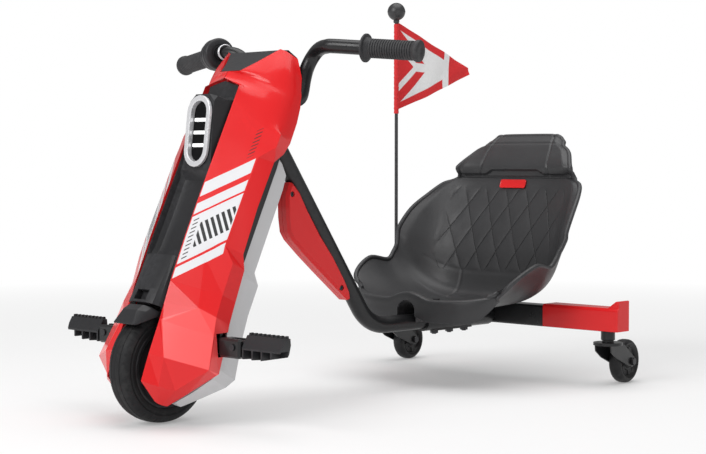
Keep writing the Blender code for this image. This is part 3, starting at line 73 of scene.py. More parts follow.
Point = tuple[float, float, float]
Pair = tuple[float, float]
Piece = bpy.types.Object
Socket = bpy.types.NodeSocket
RAKE = math.radians(26.0)
AXLE = Vector((0.0, -0.4558, 0.0825))
STEER_AXIS = Vector((0.0, math.sin(RAKE), math.cos(RAKE)))
STEER_FRONT = Vector((0.0, -math.cos(RAKE), math.sin(RAKE)))
SIDEWAYS = Vector((1.0, 0.0, 0.0))
UPWARD = Vector((0.0, 0.0, 1.0))
CASTER_LINE_Y = 0.3732
SENSOR_WIDTH = 36.0
WHITE = (1.0, 1.0, 1.0, 1.0)


def column(side: float, front: float, along: float) -> Vector:
    """Place on the steering column.

    Args:
        side: metres to the rider's left.
        front: metres in front of the steering axis.
        along: metres up the steering axis from the front axle.

    Returns:
        The place in the kart's own frame.
    """
    return AXLE + Vector((side, 0.0, 0.0)) + STEER_FRONT * front + STEER_AXIS * along


def height_up(place: Vector) -> float:
    """Height of a place along the raked column, the other way round from column()."""
    return (place.y - AXLE.y) * math.sin(RAKE) + (place.z - AXLE.z) * math.cos(RAKE)


def kart(forward: float, left: float, up: float) -> Vector:
    """Place measured forward from the line on which the casters touch the ground.

    Args:
        forward: metres towards the front wheel.
        left: metres to the rider's left.
        up: height over the floor in metres.

    Returns:
        The place in the kart's own frame.
    """
    return Vector((left, CASTER_LINE_Y - forward, up))


def curve_place(near: Sequence, share: float) -> object:
    """Place on a smooth curve through the two middle ones of four numbers or vectors.

    Args:
        near: four values in a row.
        share: 0 at the second value to 1 at the third.

    Returns:
        A value of the same kind.
    """
    a, b, c, d = near
    return 0.5 * (2 * b + (c - a) * share + (2 * a - 5 * b + 4 * c - d) * share ** 2
                  + (3 * b - a - 3 * c + d) * share ** 3)


def around(places: Sequence, index: int) -> list:
    """Four values round the stretch that starts at an index, with the first and last repeated at the ends."""
    return [places[min(len(places) - 1, max(0, index + step))] for step in (-1, 0, 1, 2)]


def middle_of(node: str) -> Vector:
    """Middle of a CAD node's box."""
    low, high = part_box(node)
    return (low + high) / 2


def offset(run: float, radius: float, places: Sequence[Pair]) -> list[Pair]:
    """Places of a profile given from a corner at a run and a radius."""
    return [(run + along, radius + out) for along, out in places]


def mirrored(profile: Sequence[Pair]) -> list[Pair]:
    """The other half of a profile, in running order."""
    return [(-run, radius) for run, radius in reversed(profile)]


class Side(Enum):
    """Rider's left or right, with the sign of X."""

    LEFT = 1
    RIGHT = -1

    @property
    def word(self) -> str:
        """Name used in node and piece names."""
        return self.name.lower()


# Node trees


class Bench:
    """One material's node tree, with short calls for what the finishes share."""

    def __init__(self, name: str, colour: Point, roughness: float, metallic: float = 0.0) -> None:
        """Start a material with its principled shader.

        Args:
            name: material name.
            colour: linear base colour.
            roughness: roughness on the shader's own socket.
            metallic: metallic on the shader's own socket.
        """
        self.material = bpy.data.materials.new(name)
        self.material.use_nodes = True
        self.tree = self.material.node_tree
        self.shader = next(n for n in self.tree.nodes if n.type == "BSDF_PRINCIPLED")
        self.material.diffuse_color = (*colour, 1.0)
        self.set("Base Color", (*colour, 1.0))
        self.set("Roughness", roughness)
        self.set("Metallic", metallic)
        self.place = self.node("ShaderNodeTexCoord").outputs["Object"]

    def set(self, socket: str, value: object) -> None:
        """Set a constant on the shader's own socket."""
        self.shader.inputs[socket].default_value = value

    def node(self, kind: str, inputs: dict[str | int, object] | None = None, **settings: object) -> bpy.types.Node:
        """Add a node, set its properties, and wire or set its inputs.

        Args:
            kind: Blender's name of the node type.
            inputs: sockets or plain values by input name or number.
            settings: properties of the node.

        Returns:
            The node.
        """
        made = self.tree.nodes.new(kind)
        for key, value in settings.items():
            setattr(made, key, value)
        for key, value in (inputs or {}).items():
            self.feed(made.inputs[key], value)
        return made

    def wire(self, source: Socket, target: Socket) -> None:
        """Join two sockets."""
        self.tree.links.new(source, target)

    def feed(self, target: Socket, value: object) -> None:
        """Join a socket to the target, or set a plain value on it.

        Args:
            target: input to fill.
            value: a socket or a plain value.
        """
        if isinstance(value, Socket):
            self.wire(value, target)
        else:
            target.default_value = value

    def stretched(self, scale: Point) -> Socket:
        """Object coordinates scaled by three factors."""
        return self.node("ShaderNodeMapping", {"Vector": self.place, "Scale": scale}).outputs["Vector"]

    def noise(self, scale: float, detail: float = 3.0, roughness: float = 0.5,
              where: Socket | None = None) -> Socket:
        """Noise from 0 to 1 over object coordinates in metres."""
        return self.node("ShaderNodeTexNoise", {"Vector": where or self.place, "Scale": scale, "Detail": detail,
                                                "Roughness": roughness}).outputs["Fac"]

    def cells(self, scale: float) -> Socket:
        """Distance to the nearest cell centre."""
        return self.node("ShaderNodeTexVoronoi", {"Vector": self.place, "Scale": scale},
                         feature="SMOOTH_F1").outputs["Distance"]

    def span(self, value: Socket, low: float, high: float,
             to_low: float = 0.0, to_high: float = 1.0) -> Socket:
        """Clamped linear map of a value."""
        return self.node("ShaderNodeMapRange", {"Value": value, "From Min": low, "From Max": high, "To Min": to_low,
                                                "To Max": to_high}).outputs["Result"]

    def sum(self, operation: str, first: object, second: object = 0.0) -> Socket:
        """One math node."""
        return self.node("ShaderNodeMath", {0: first, 1: second}, operation=operation).outputs[0]

    def blend(self, share: object, first: object, second: object) -> Socket:
        """Mix two colours; share 0 gives the first."""
        return self.node("ShaderNodeMix", {0: share, 6: first, 7: second}, data_type="RGBA").outputs[2]

    def axes(self, source: Socket | None = None) -> bpy.types.bpy_prop_collection:
        """Outputs X, Y and Z of the object coordinates or of another vector."""
        return self.node("ShaderNodeSeparateXYZ", {0: source or self.place}).outputs

    def relief(self, height: Socket, depth: float, strength: float = 1.0,
               below: Socket | None = None) -> Socket:
        """Bump from a height of 0 to 1 that stands for a depth in metres.

        Args:
            height: height from 0 to 1.
            depth: what 1 stands for, in metres.
            strength: share of the bump.
            below: normal of a coarser relief under it.

        Returns:
            The bumped normal.
        """
        made = self.node("ShaderNodeBump", {"Strength": strength, "Distance": depth, "Height": height})
        if below is not None:
            self.wire(below, made.inputs["Normal"])
        return made.outputs["Normal"]

    def edges(self, low: float, high: float) -> Socket:
        """Share of 1 where the surface has a sharp outer edge."""
        return self.span(self.node("ShaderNodeNewGeometry").outputs["Pointiness"], low, high)

    def along(self, direction: Vector, origin: Vector) -> Socket:
        """Distance along a direction from an origin, in metres."""
        dot = self.node("ShaderNodeVectorMath", {0: self.place, 1: tuple(direction)}, operation="DOT_PRODUCT")
        return self.sum("SUBTRACT", dot.outputs["Value"], direction.dot(origin))

    def between(self, value: Socket, low: float, high: float,
                soft: float = 0.00025) -> Socket:
        """Mask that is 1 while a value lies between two limits.

        Args:
            value: value to test.
            low: lower limit.
            high: upper limit.
            soft: half width of both soft ends.

        Returns:
            The mask.
        """
        rise = self.span(value, low - soft, low + soft)
        fall = self.span(value, high - soft, high + soft, 1.0, 0.0)
        return self.sum("MULTIPLY", rise, fall)

    def colour(self, source: Socket) -> None:
        """Drive the base colour."""
        self.wire(source, self.shader.inputs["Base Color"])

    def rough(self, source: Socket) -> None:
        """Drive the roughness."""
        self.wire(source, self.shader.inputs["Roughness"])

    def normal(self, source: Socket) -> None:
        """Drive the normal."""
        self.wire(source, self.shader.inputs["Normal"])


def shade(colour: Point, factor: float) -> tuple[float, float, float, float]:
    """A colour made lighter or darker, with alpha."""
    return tuple(min(1.0, c * factor) for c in colour) + (1.0,)


@dataclass(frozen=True)
class Finish:
    """Moulded plastic or paint: base colour, gloss, fine grain and slight unevenness."""

    name: str
    slot: str
    tint: Point
    roughness: float = 0.45
    metallic: float = 0.0
    coat: float = 0.0
    grain_scale: float = 1400.0
    grain_depth: float = 0.00006
    mottle: float = 0.10
    # how much lighter the edges are painted: partly wear, partly painted highlight
    edge_gain: float = 1.25
    uneven: float = 0.08
    shine: float = 0.5

    def start(self) -> Bench:
        """Bench with the constants that sit on the shader's own sockets.

        Returns:
            The started node tree.
        """
        bench = Bench(self.name, self.tint, self.roughness, self.metallic)
        bench.set("Specular IOR Level", self.shine)
        if self.coat:
            bench.set("Coat Weight", self.coat)
            bench.set("Coat Roughness", 0.08)
        return bench

    def tone(self, bench: Bench) -> Socket:
        """Base colour with slow mottling, faint dust, and lighter edges that are partly wear and partly a painted
        highlight.

        Args:
            bench: the material's node tree.

        Returns:
            The colour.
        """
        slow = bench.span(bench.noise(9.0, 4.0), 0.3, 0.7)
        base = bench.blend(slow, shade(self.tint, 1.0 - self.mottle), shade(self.tint, 1.0 + self.mottle))
        fine = bench.span(bench.noise(420.0, 2.0), 0.35, 0.8, 0.0, 0.35)
        base = bench.blend(fine, base, shade(self.tint, 1.0 + self.mottle * 1.5))
        # patchy lighter colour on sharp edges: partly wear, partly a painted highlight where edges catch the light
        worn_and_highlit_edges = bench.sum("MULTIPLY", bench.edges(0.515, 0.60), bench.span(bench.noise(150.0, 3.0), 0.35, 0.75))
        return bench.blend(worn_and_highlit_edges, base, shade(self.tint, self.edge_gain))

    def gloss(self, bench: Bench) -> Socket:
        """Roughness with handling marks."""
        marks = bench.noise(26.0, 6.0, 0.6)
        return bench.span(marks, 0.25, 0.8, max(0.03, self.roughness - self.uneven), self.roughness + self.uneven)

    def skin(self, bench: Bench) -> Socket:
        """Grain of the surface, as relief."""
        broad = bench.relief(bench.noise(self.grain_scale * 0.12, 2.0), self.grain_depth * 1.2, 0.6)
        return bench.relief(bench.noise(self.grain_scale, 2.0), self.grain_depth, 0.8, broad)

    def make(self) -> bpy.types.Material:
        """Build the material.

        Returns:
            The material.
        """
        bench = self.start()
        bench.colour(self.tone(bench))
        bench.rough(self.gloss(bench))
        bench.normal(self.skin(bench))
        return bench.material


@dataclass(frozen=True)
class LeatherGrain(Finish):
    """Moulded plastic with an embossed leather-like grain, as on the seat."""

    cell_scale: float = 620.0

    def skin(self, bench: Bench) -> Socket:
        """Pebbled cells over a slow waviness."""
        slow = bench.relief(bench.noise(70.0, 2.0), 0.00012, 0.5)
        return bench.relief(bench.cells(self.cell_scale), self.grain_depth, 0.7, slow)


@dataclass(frozen=True)
class QuiltedGrain(LeatherGrain):
    """Seat moulding whose back carries thin crossing lines."""

    pan: float = 0.1345
    pitch: float = 0.0455
    height: float = 0.084
    line: float = 0.0010
    levels: Point = (0.052, 0.192, 0.004)
    sides: Pair = (0.118, 0.130)
    behind: Pair = (0.286, 0.292)

    def lines(self, bench: Bench) -> Socket:
        """Mask of the crossing lines on the seat's back.

        Args:
            bench: the material's node tree.

        Returns:
            The mask.
        """
        axes = bench.axes()
        side = bench.sum("DIVIDE", axes["X"], self.pitch)
        high = bench.sum("SUBTRACT", axes["Z"], self.pan)
        rise = bench.sum("DIVIDE", high, self.height)
        both = None
        for way in ("ADD", "SUBTRACT"):
            phase = bench.sum("FRACT", bench.sum("ADD", bench.sum(way, side, rise), 16.0))
            apart = bench.sum("MINIMUM", phase, bench.sum("SUBTRACT", 1.0, phase))
            mark = bench.span(bench.sum("MULTIPLY", apart, self.pitch * 0.88), self.line * 0.4, self.line, 1.0, 0.0)
            both = mark if both is None else bench.sum("MAXIMUM", both, mark)
        zone = bench.sum("MULTIPLY", bench.between(high, *self.levels),
                         bench.span(bench.sum("ABSOLUTE", axes["X"]), *self.sides, 1.0, 0.0))
        behind = bench.span(axes["Y"], *self.behind)
        return bench.sum("MULTIPLY", bench.sum("MULTIPLY", both, zone), behind)

    def tone(self, bench: Bench) -> Socket:
        """Grained black with painted shade in the pressed lines."""
        # the pressed quilting lines are darkened: painted shade in the grooves
        return bench.blend(bench.sum("MULTIPLY", self.lines(bench), 0.75), LeatherGrain.tone(self, bench),
                           shade(self.tint, 0.25))

    def skin(self, bench: Bench) -> Socket:
        """Grain with the lines pressed in."""
        pressed = bench.sum("SUBTRACT", 1.0, self.lines(bench))
        return bench.relief(pressed, 0.0012, 0.8, LeatherGrain.skin(self, bench))


@dataclass(frozen=True)
class Rubber(Finish):
    """Dull rubber with dust in its grain."""

    dust: Point = (0.16, 0.155, 0.15)

    def tone(self, bench: Bench) -> Socket:
        """Black with a dusty bloom.

        Args:
            bench: the material's node tree.

        Returns:
            The colour.
        """
        base = Finish.tone(self, bench)
        bloom = bench.span(bench.noise(45.0, 6.0, 0.65), 0.52, 0.85, 0.0, 0.22)
        return bench.blend(bloom, base, (*self.dust, 1.0))


@dataclass(frozen=True)
class PlatedSteel(Finish):
    """Zinc or nickel plating with fine drawn lines."""

    lines: Point = (1.0, 1.0, 0.06)

    def skin(self, bench: Bench) -> Socket:
        """Drawn lines along the piece."""
        return bench.relief(bench.noise(900.0, 2.0, 0.5, bench.stretched(self.lines)), self.grain_depth, 0.6)


@dataclass(frozen=True)
class GlowPlastic(Finish):
    """Milky light guide that is faintly lit from behind."""

    glow: float = 0.55

    def start(self) -> Bench:
        """Bench with a weak emission on its own socket.

        Returns:
            The started node tree.
        """
        bench = Finish.start(self)
        bench.set("Emission Color", WHITE)
        bench.set("Emission Strength", self.glow)
        return bench


@dataclass(frozen=True)
class StripedPaint(Finish):
    """Red gloss plastic with a printed film of plain slanted blocks and ticks, and a painted highlight on one low
    facet.
    """

    white: Point = (0.76, 0.76, 0.78)
    black: Point = (0.03, 0.03, 0.032)
    slope: float = 1.06
    inner: float = 0.0398
    outer: float = 0.0915
    blocks: tuple[Pair, ...] = ((0.112, 0.229), (0.240, 0.2635))
    cuts: tuple[Pair, ...] = ((0.1285, 0.1335), (0.2075, 0.2115))
    bars: tuple[Pair, ...] = ((0.150, 0.190), (0.0520, 0.0900), (0.0160, 0.0092))
    ticks: tuple[Pair, ...] = ((0.137, 0.203), (0.0430, 0.0485), (0.0066, 0.0024))
    far_ticks: tuple[Pair, ...] = ((0.272, 0.318), (0.0800, 0.0870), (0.0066, 0.0022))
    counter_slope: float = 1.7
    origin: float = 0.0385
    # lighter red of the painted highlight on one low facet
    facet_tint: Point = (0.92, 0.085, 0.085)
    corners: tuple[Pair, ...] = ((0.042, 0.052), (0.085, 0.082), (0.108, 0.076), (0.1255, -0.001),
                                                (0.066, -0.001))

    def tone(self, bench: Bench) -> Socket:
        """Paint under the film's white blocks, red cuts and black ticks, with a painted highlight on one low facet.

        Args:
            bench: the material's node tree.

        Returns:
            The colour.
        """
        base = Finish.tone(self, bench)
        side = bench.sum("ABSOLUTE", bench.axes()["X"])
        up = bench.along(STEER_AXIS, AXLE)
        lift = bench.sum("MULTIPLY", side, -self.slope)
        slant = bench.sum("ADD", bench.sum("ADD", up, lift), self.slope * self.origin)
        film = bench.between(slant, *self.blocks[0])
        for cut in self.cuts:
            film = bench.sum("SUBTRACT", film, bench.between(slant, *cut))
        film = bench.sum("MAXIMUM", film, bench.between(slant, *self.blocks[1]))
        film = bench.sum("MULTIPLY", film, bench.between(side, self.inner, self.outer))
        dull = bench.span(bench.noise(60.0, 3.0), 0.3, 0.7, 0.92, 1.0)
        white = bench.blend(dull, (*(c * 0.9 for c in self.white), 1.0), (*self.white, 1.0))
        tone = bench.blend(film, base, white)
        steep = self.slope * self.counter_slope
        counter = bench.sum("ADD", up, bench.sum("MULTIPLY", side, steep))
        counter = bench.sum("SUBTRACT", counter, steep * self.origin)
        ink = None
        for (levels, sides, rhythm), measure in ((self.bars, counter), (self.ticks, slant), (self.far_ticks, slant)):
            mark = bench.sum("MULTIPLY", bench.between(slant, *levels), bench.between(side, *sides))
            mark = bench.sum("MULTIPLY", mark, self.steps(bench, measure, *rhythm))
            ink = mark if ink is None else bench.sum("MAXIMUM", ink, mark)
        # painted highlight: the low facet gets a lighter red that stands for light falling on it
        tone = bench.blend(self.facet(bench, side, up), tone, (*self.facet_tint, 1.0))
        return bench.blend(ink, tone, (*self.black, 1.0))

    def facet(self, bench: Bench, side: Socket, up: Socket) -> Socket:
        """Mask of the five-sided facet low on the panel that is painted lighter, a painted highlight where light falls
        on it.

        Args:
            bench: the material's bench.
            side: distance from the kart's middle plane.
            up: distance up the column.

        Returns:
            The mask.
        """
        inside = None
        corners = self.corners
        for (side_a, up_a), (side_b, up_b) in zip(corners, corners[1:] + corners[:1]):
            run, rise = side_b - side_a, up_b - up_a
            length = math.hypot(run, rise)
            across = bench.sum("MULTIPLY", bench.sum("SUBTRACT", side, side_a), rise / length)
            along = bench.sum("MULTIPLY", bench.sum("SUBTRACT", up, up_a), run / length)
            part = bench.span(bench.sum("SUBTRACT", across, along), -0.0005, 0.0008)
            inside = part if inside is None else bench.sum("MULTIPLY", inside, part)
        return inside

    def steps(self, bench: Bench, value: Socket, pitch: float,
              width: float) -> Socket:
        """Repeating stripes: 1 over a width at each pitch."""
        phase = bench.sum("MODULO", bench.sum("ADD", value, pitch * 64.0), pitch)
        return bench.between(phase, 0.0004, width)


@dataclass(frozen=True)
class FlagCloth(Finish):
    """Woven flag: white ground with plain red triangles and slanted bars, on the piece's own UV map."""

    ground: Point = (0.86, 0.86, 0.86)
    rim: Pair = (0.425, 0.60)
    rim_run: Pair = (0.0, 0.62)
    slant: float = 0.9
    near_bar: Pair = (0.0, 0.19)
    far_bar: Pair = (0.27, 0.40)
    bar_gap: Pair = (0.05, 1.0)
    tip: Pair = (0.70, 1.2)
    soft: float = 0.004
    warp: float = 62.0
    weft: float = 48.0

    def tone(self, bench: Bench) -> Socket:
        """Red shapes printed on the white ground.

        Args:
            bench: the material's node tree.

        Returns:
            The colour.
        """
        uv = bench.node("ShaderNodeUVMap", uv_map="flag").outputs["UV"]
        axes = bench.axes(uv)
        run, rise = axes["X"], axes["Y"]
        middle = bench.sum("ABSOLUTE", bench.sum("SUBTRACT", rise, 0.5))
        edge = bench.sum("ADD", bench.sum("MULTIPLY", run, 0.5), middle)
        rim = bench.between(edge, *self.rim, self.soft)
        rim = bench.sum("MULTIPLY", rim, bench.between(run, *self.rim_run, self.soft))
        chevron = bench.sum("ADD", run, bench.sum("MULTIPLY", middle, self.slant))
        first = bench.between(chevron, *self.near_bar, self.soft)
        second = bench.between(chevron, *self.far_bar, self.soft)
        second = bench.sum("MULTIPLY", second, bench.between(middle, *self.bar_gap, self.soft))
        tip = bench.between(run, *self.tip, self.soft)
        red = bench.sum("MAXIMUM", bench.sum("MAXIMUM", rim, first), bench.sum("MAXIMUM", second, tip))
        weave = bench.span(bench.noise(2600.0, 1.0), 0.3, 0.7, 0.0, 0.25)
        white = bench.blend(weave, (*self.ground, 1.0), shade(self.ground, 0.90))
        inked = bench.blend(weave, (*self.tint, 1.0), shade(self.tint, 0.82))
        return bench.blend(red, white, inked)

    def skin(self, bench: Bench) -> Socket:
        """Warp and weft about half a millimetre apart, with slight creases.

        Args:
            bench: the material's node tree.

        Returns:
            The bumped normal.
        """
        uv = bench.node("ShaderNodeUVMap", uv_map="flag").outputs["UV"]
        warp, weft = (bench.node("ShaderNodeTexWave", {"Vector": uv, "Scale": scale}, bands_direction=way)
                      for way, scale in (("X", self.warp), ("Y", self.weft)))
        cloth = bench.sum("MULTIPLY", warp.outputs["Fac"], weft.outputs["Fac"])
        crease = bench.relief(bench.noise(24.0, 3.0), 0.0009, 0.5)
        return bench.relief(cloth, 0.00012, 0.7, crease)


class Finishes:
    """All finishes of the kart, each made once."""

    RED = StripedPaint("red_gloss_panel", "red_plastic", (0.72, 0.016, 0.018), roughness=0.25, coat=0.15,
                       grain_scale=900.0, grain_depth=0.00001, mottle=0.02, edge_gain=1.06, uneven=0.03, shine=0.25)
    RED_PLAIN = Finish("red_gloss_cover", "red_plastic", (0.72, 0.016, 0.018), roughness=0.25, coat=0.15,
                       grain_scale=900.0, grain_depth=0.00001, mottle=0.02, edge_gain=1.06, uneven=0.03, shine=0.25)
    GREY = Finish("grey_satin_shell", "grey_plastic", (0.56, 0.56, 0.57), roughness=0.42, grain_scale=1500.0,
                  grain_depth=0.00004, mottle=0.03, edge_gain=1.10, uneven=0.07)
    BLACK = Finish("black_grained_moulding", "black_plastic", (0.018, 0.018, 0.020), roughness=0.44,
                   grain_scale=1500.0, grain_depth=0.00007, mottle=0.14, edge_gain=1.9, uneven=0.10, shine=0.36)
    BLACK_GLOSS = Finish("black_gloss_mask", "lamp_black", (0.004, 0.004, 0.0045), roughness=0.40, grain_scale=900.0,
                         grain_depth=0.00001, mottle=0.05, edge_gain=1.3, uneven=0.05, shine=0.10)
    SEAT = QuiltedGrain("seat_grained_moulding", "seat_plastic", (0.032, 0.032, 0.034), roughness=0.44,
                        grain_scale=620.0, grain_depth=0.00013, edge_gain=2.1, uneven=0.10)
    COAT = Finish("black_powder_coat", "black_steel", (0.011, 0.011, 0.012), roughness=0.34, coat=0.1,
                  grain_scale=900.0, edge_gain=2.0, uneven=0.10, shine=0.36)
    ZINC = PlatedSteel("zinc_plated_steel", "zinc_steel", (0.52, 0.52, 0.54), roughness=0.33, metallic=0.95,
                       grain_scale=900.0, grain_depth=0.00004, mottle=0.07, edge_gain=1.15, uneven=0.12)
    DARK_BOLT = PlatedSteel("black_oxide_steel", "zinc_steel", (0.045, 0.045, 0.048), roughness=0.38, metallic=0.7,
                            grain_scale=900.0, grain_depth=0.00004, edge_gain=2.0, uneven=0.10)
    MOTOR = Finish("motor_painted_casting", "motor_shell", (0.022, 0.022, 0.024), roughness=0.42, metallic=0.35,
                   grain_scale=700.0, grain_depth=0.00010, mottle=0.14, edge_gain=2.2, uneven=0.10, shine=0.32)
    SILVER = Finish("silver_satin_plating", "silver_ring", (0.74, 0.74, 0.76), roughness=0.27, metallic=0.35, coat=0.2,
                    grain_scale=1200.0, grain_depth=0.00002, mottle=0.03, edge_gain=1.1, uneven=0.06)
    LIGHT = GlowPlastic("light_guide_milk", "light_white", (0.9, 0.9, 0.9), roughness=0.30, grain_scale=900.0,
                        grain_depth=0.00003, mottle=0.03, edge_gain=1.0, uneven=0.05)
    TYRE = Rubber("tyre_rubber", "tyre", (0.010, 0.010, 0.011), roughness=0.66, grain_scale=700.0, grain_depth=0.00012,
                  mottle=0.12, edge_gain=1.7, uneven=0.10, shine=0.30)
    GRIP = Rubber("grip_rubber", "grip_rubber", (0.020, 0.020, 0.022), roughness=0.62, grain_scale=1200.0,
                  grain_depth=0.00010, mottle=0.12, edge_gain=1.9, uneven=0.10)
    CASTER = Rubber("caster_tyre", "caster_tyre", (0.008, 0.008, 0.009), roughness=0.46, grain_scale=900.0,
                    grain_depth=0.00008, mottle=0.12, edge_gain=1.8, uneven=0.10, shine=0.32)
    ROD = Finish("glass_fibre_rod", "flag_rod", (0.030, 0.030, 0.032), roughness=0.35, coat=0.1, grain_depth=0.00004,
                 mottle=0.12, edge_gain=1.6)
    BALL = Finish("black_ball", "ball_plastic", (0.030, 0.030, 0.032), roughness=0.40, grain_depth=0.00004,
                  edge_gain=1.6)
    CLOTH = FlagCloth("flag_cloth", "flag_fabric", (0.72, 0.022, 0.026), roughness=0.85, grain_scale=900.0,
                      grain_depth=0.00008, mottle=0.06, edge_gain=1.0, uneven=0.06)
    SLEEVE = Finish("flag_sleeve_cloth", "flag_fabric", (0.66, 0.020, 0.024), roughness=0.80, grain_scale=2200.0,
                    grain_depth=0.00015, mottle=0.08, edge_gain=1.1, uneven=0.06)
    BATTERY = Finish("battery_case", "black_plastic", (0.030, 0.030, 0.034), roughness=0.55)

    def __init__(self) -> None:
        """Nothing is built until it is asked for."""
        self.made: dict[str, bpy.types.Material] = {}

    def get(self, finish: Finish) -> bpy.types.Material:
        """Material of a finish, built at its first use.

        Args:
            finish: one of the finishes.

        Returns:
            Its material.
        """
        if finish.name not in self.made:
            self.made[finish.name] = finish.make()
        return self.made[finish.name]


# Modelling steps


class Modeller:
    """Edit-mode steps that the sub-assemblies share."""

    @staticmethod
    def clear() -> None:
        """Leave edit mode and deselect everything."""
        if bpy.context.object is not None and bpy.context.object.mode != "OBJECT":
            bpy.ops.object.mode_set(mode="OBJECT")
        for thing in list(bpy.context.selected_objects):
            thing.select_set(False)

    @classmethod
    def pick(cls, thing: Piece) -> None:
        """Select one object alone and make it active.

        Args:
            thing: the object.
        """
        cls.clear()
        thing.select_set(True)
        bpy.context.view_layer.objects.active = thing

    @staticmethod
    def fresh(name: str) -> Piece:
        """Name the primitive that was just added and put its place into its mesh.

        Args:
            name: name of the piece.

        Returns:
            The named primitive.
        """
        thing = bpy.context.object
        thing.name = thing.data.name = name
        bpy.ops.object.transform_apply(location=True, rotation=True, scale=True)
        return thing

    @classmethod
    def block(cls, name: str, place: Vector, lean: float, size: Point) -> Piece:
        """Box of a size at a place, leaning about the X axis.

        Args:
            name: name of the piece.
            place: its middle.
            lean: how far its top leans back, in radians.
            size: its three edge lengths.

        Returns:
            The box.
        """
        cls.clear()
        bpy.ops.mesh.primitive_cube_add(size=1.0, location=place, rotation=(-lean, 0.0, 0.0), scale=size)
        return cls.fresh(name)

    @classmethod
    def edit(cls, thing: Piece, everything: bool = True) -> None:
        """Enter edit mode with all or nothing selected.

        Args:
            thing: the object.
            everything: whether all of it is selected.
        """
        cls.pick(thing)
        bpy.ops.object.mode_set(mode="EDIT")
        bpy.ops.mesh.select_mode(type="VERT")
        bpy.ops.mesh.select_all(action="SELECT" if everything else "DESELECT")

    @classmethod
    def done(cls) -> None:
        """Back to object mode."""
        bpy.ops.object.mode_set(mode="OBJECT")

    @classmethod
    def take(cls, thing: Piece, mode: str, wanted: Callable[[object], bool]) -> None:
        """Select faces or edges of an object in edit mode.

        Args:
            thing: object in edit mode.
            mode: FACE or EDGE.
            wanted: test of a bmesh face or edge.
        """
        bpy.ops.mesh.select_mode(type=mode)
        bpy.ops.mesh.select_all(action="DESELECT")
        work = bmesh.from_edit_mesh(thing.data)
        for item in work.faces if mode == "FACE" else work.edges:
            if wanted(item):
                item.select_set(True)
        bmesh.update_edit_mesh(thing.data)

    @classmethod
    def modify(cls, thing: Piece, kind: str, **settings: object) -> None:
        """Add a modifier, set it and apply it.

        Args:
            thing: the object.
            kind: Blender's name of the modifier type.
            settings: properties of the modifier.
        """
        cls.pick(thing)
        made = thing.modifiers.new(kind.lower(), kind)
        for key, value in settings.items():
            setattr(made, key, value)
        bpy.ops.object.modifier_apply(modifier=made.name)

    @classmethod
    def rounded(cls, thing: Piece, width: float, segments: int, angle: float, limit: str = "ANGLE") -> None:
        """Round the edges sharper than an angle in degrees, or those of a bevel weight where the limit is WEIGHT."""
        cls.modify(thing, "BEVEL", width=width, segments=segments, limit_method=limit,
                   angle_limit=math.radians(angle), use_clamp_overlap=True, harden_normals=False)

    @classmethod
    def settle(cls, thing: Piece, angle: float = 35.0) -> Piece:
        """Put an object's place into its mesh and shade it smooth below an angle.

        Args:
            thing: the object.
            angle: shading angle in degrees.

        Returns:
            The same object.
        """
        cls.pick(thing)
        bpy.ops.object.transform_apply(location=True, rotation=True, scale=True)
        bpy.ops.object.shade_smooth_by_angle(angle=math.radians(angle))
        return thing

    @classmethod
    def outward(cls, thing: Piece, merge: float = 0.00002) -> None:
        """Merge doubles and turn all faces outwards.

        Args:
            thing: the object.
            merge: distance below which places are one.
        """
        cls.edit(thing)
        bpy.ops.mesh.remove_doubles(threshold=merge)
        bpy.ops.mesh.normals_make_consistent(inside=False)
        cls.done()

    @classmethod
    def turned(cls, name: str, profile: Sequence[Pair], centre: Vector, axis: Vector,
               steps: int = 64) -> Piece:
        """Turn a closed profile round an axis.

        Args:
            name: name of the piece.
            profile: places as (distance along the axis, radius).
            centre: where the profile's zero stands.
            axis: direction of the axis.
            steps: parts of a full turn.

        Returns:
            The turned piece, with its faces outwards.
        """
        cls.clear()
        axis = axis.normalized()
        helper = Vector((0, 0, 1)) if abs(axis.z) < 0.9 else Vector((0, 1, 0))
        out = (helper - axis * helper.dot(axis)).normalized()
        places = [centre + axis * run + out * radius for run, radius in profile]
        bpy.ops.mesh.primitive_plane_add(size=0.001, location=places[0])
        thing = cls.fresh(name)
        cls.edit(thing)
        bpy.ops.mesh.merge(type="CENTER")
        for before, after in zip(places, places[1:]):
            bpy.ops.mesh.extrude_region_move(TRANSFORM_OT_translate={"value": after - before})
        bpy.ops.mesh.select_all(action="SELECT")
        bpy.ops.mesh.spin(steps=steps, angle=math.tau, center=centre, axis=axis, dupli=False)
        cls.done()
        cls.outward(thing)
        return thing

    @classmethod
    def tube(cls, name: str, route: Iterable[Vector], radius: float | Sequence[float],
             sides: int = 12) -> Piece:
        """Round tube along a route, as a mesh with closed ends.

        Args:
            name: name of the piece.
            route: places on the centreline.
            radius: one radius, or one for each place.
            sides: faces round the tube.

        Returns:
            The tube.
        """
        cls.clear()
        data = bpy.data.curves.new(name, "CURVE")
        data.dimensions = "3D"
        data.bevel_depth = 1.0
        data.bevel_resolution = max(1, sides // 2 - 1)
        data.use_fill_caps = True
        data.resolution_u = 5
        places = list(route)
        line = data.splines.new("POLY")
        line.points.add(len(places) - 1)
        for index, place in enumerate(places):
            line.points[index].co = (*place, 1.0)
            line.points[index].radius = radius[index] if isinstance(radius, (list, tuple)) else radius
        thing = bpy.data.objects.new(name, data)
        bpy.context.scene.collection.objects.link(thing)
        cls.pick(thing)
        bpy.ops.object.convert(target="MESH")
        thing = bpy.context.object
        thing.data.materials.clear()
        cls.outward(thing)
        return thing

    @classmethod
    def fuse(cls, things: Sequence[Piece], name: str) -> Piece:
        """Join several objects into one piece.

        Args:
            things: the objects.
            name: name of the piece.

        Returns:
            The joined piece.
        """
        cls.pick(things[0])
        for thing in things:
            thing.select_set(True)
        bpy.context.view_layer.objects.active = things[0]
        bpy.ops.object.join()
        made = bpy.context.object
        made.name = made.data.name = name
        return made

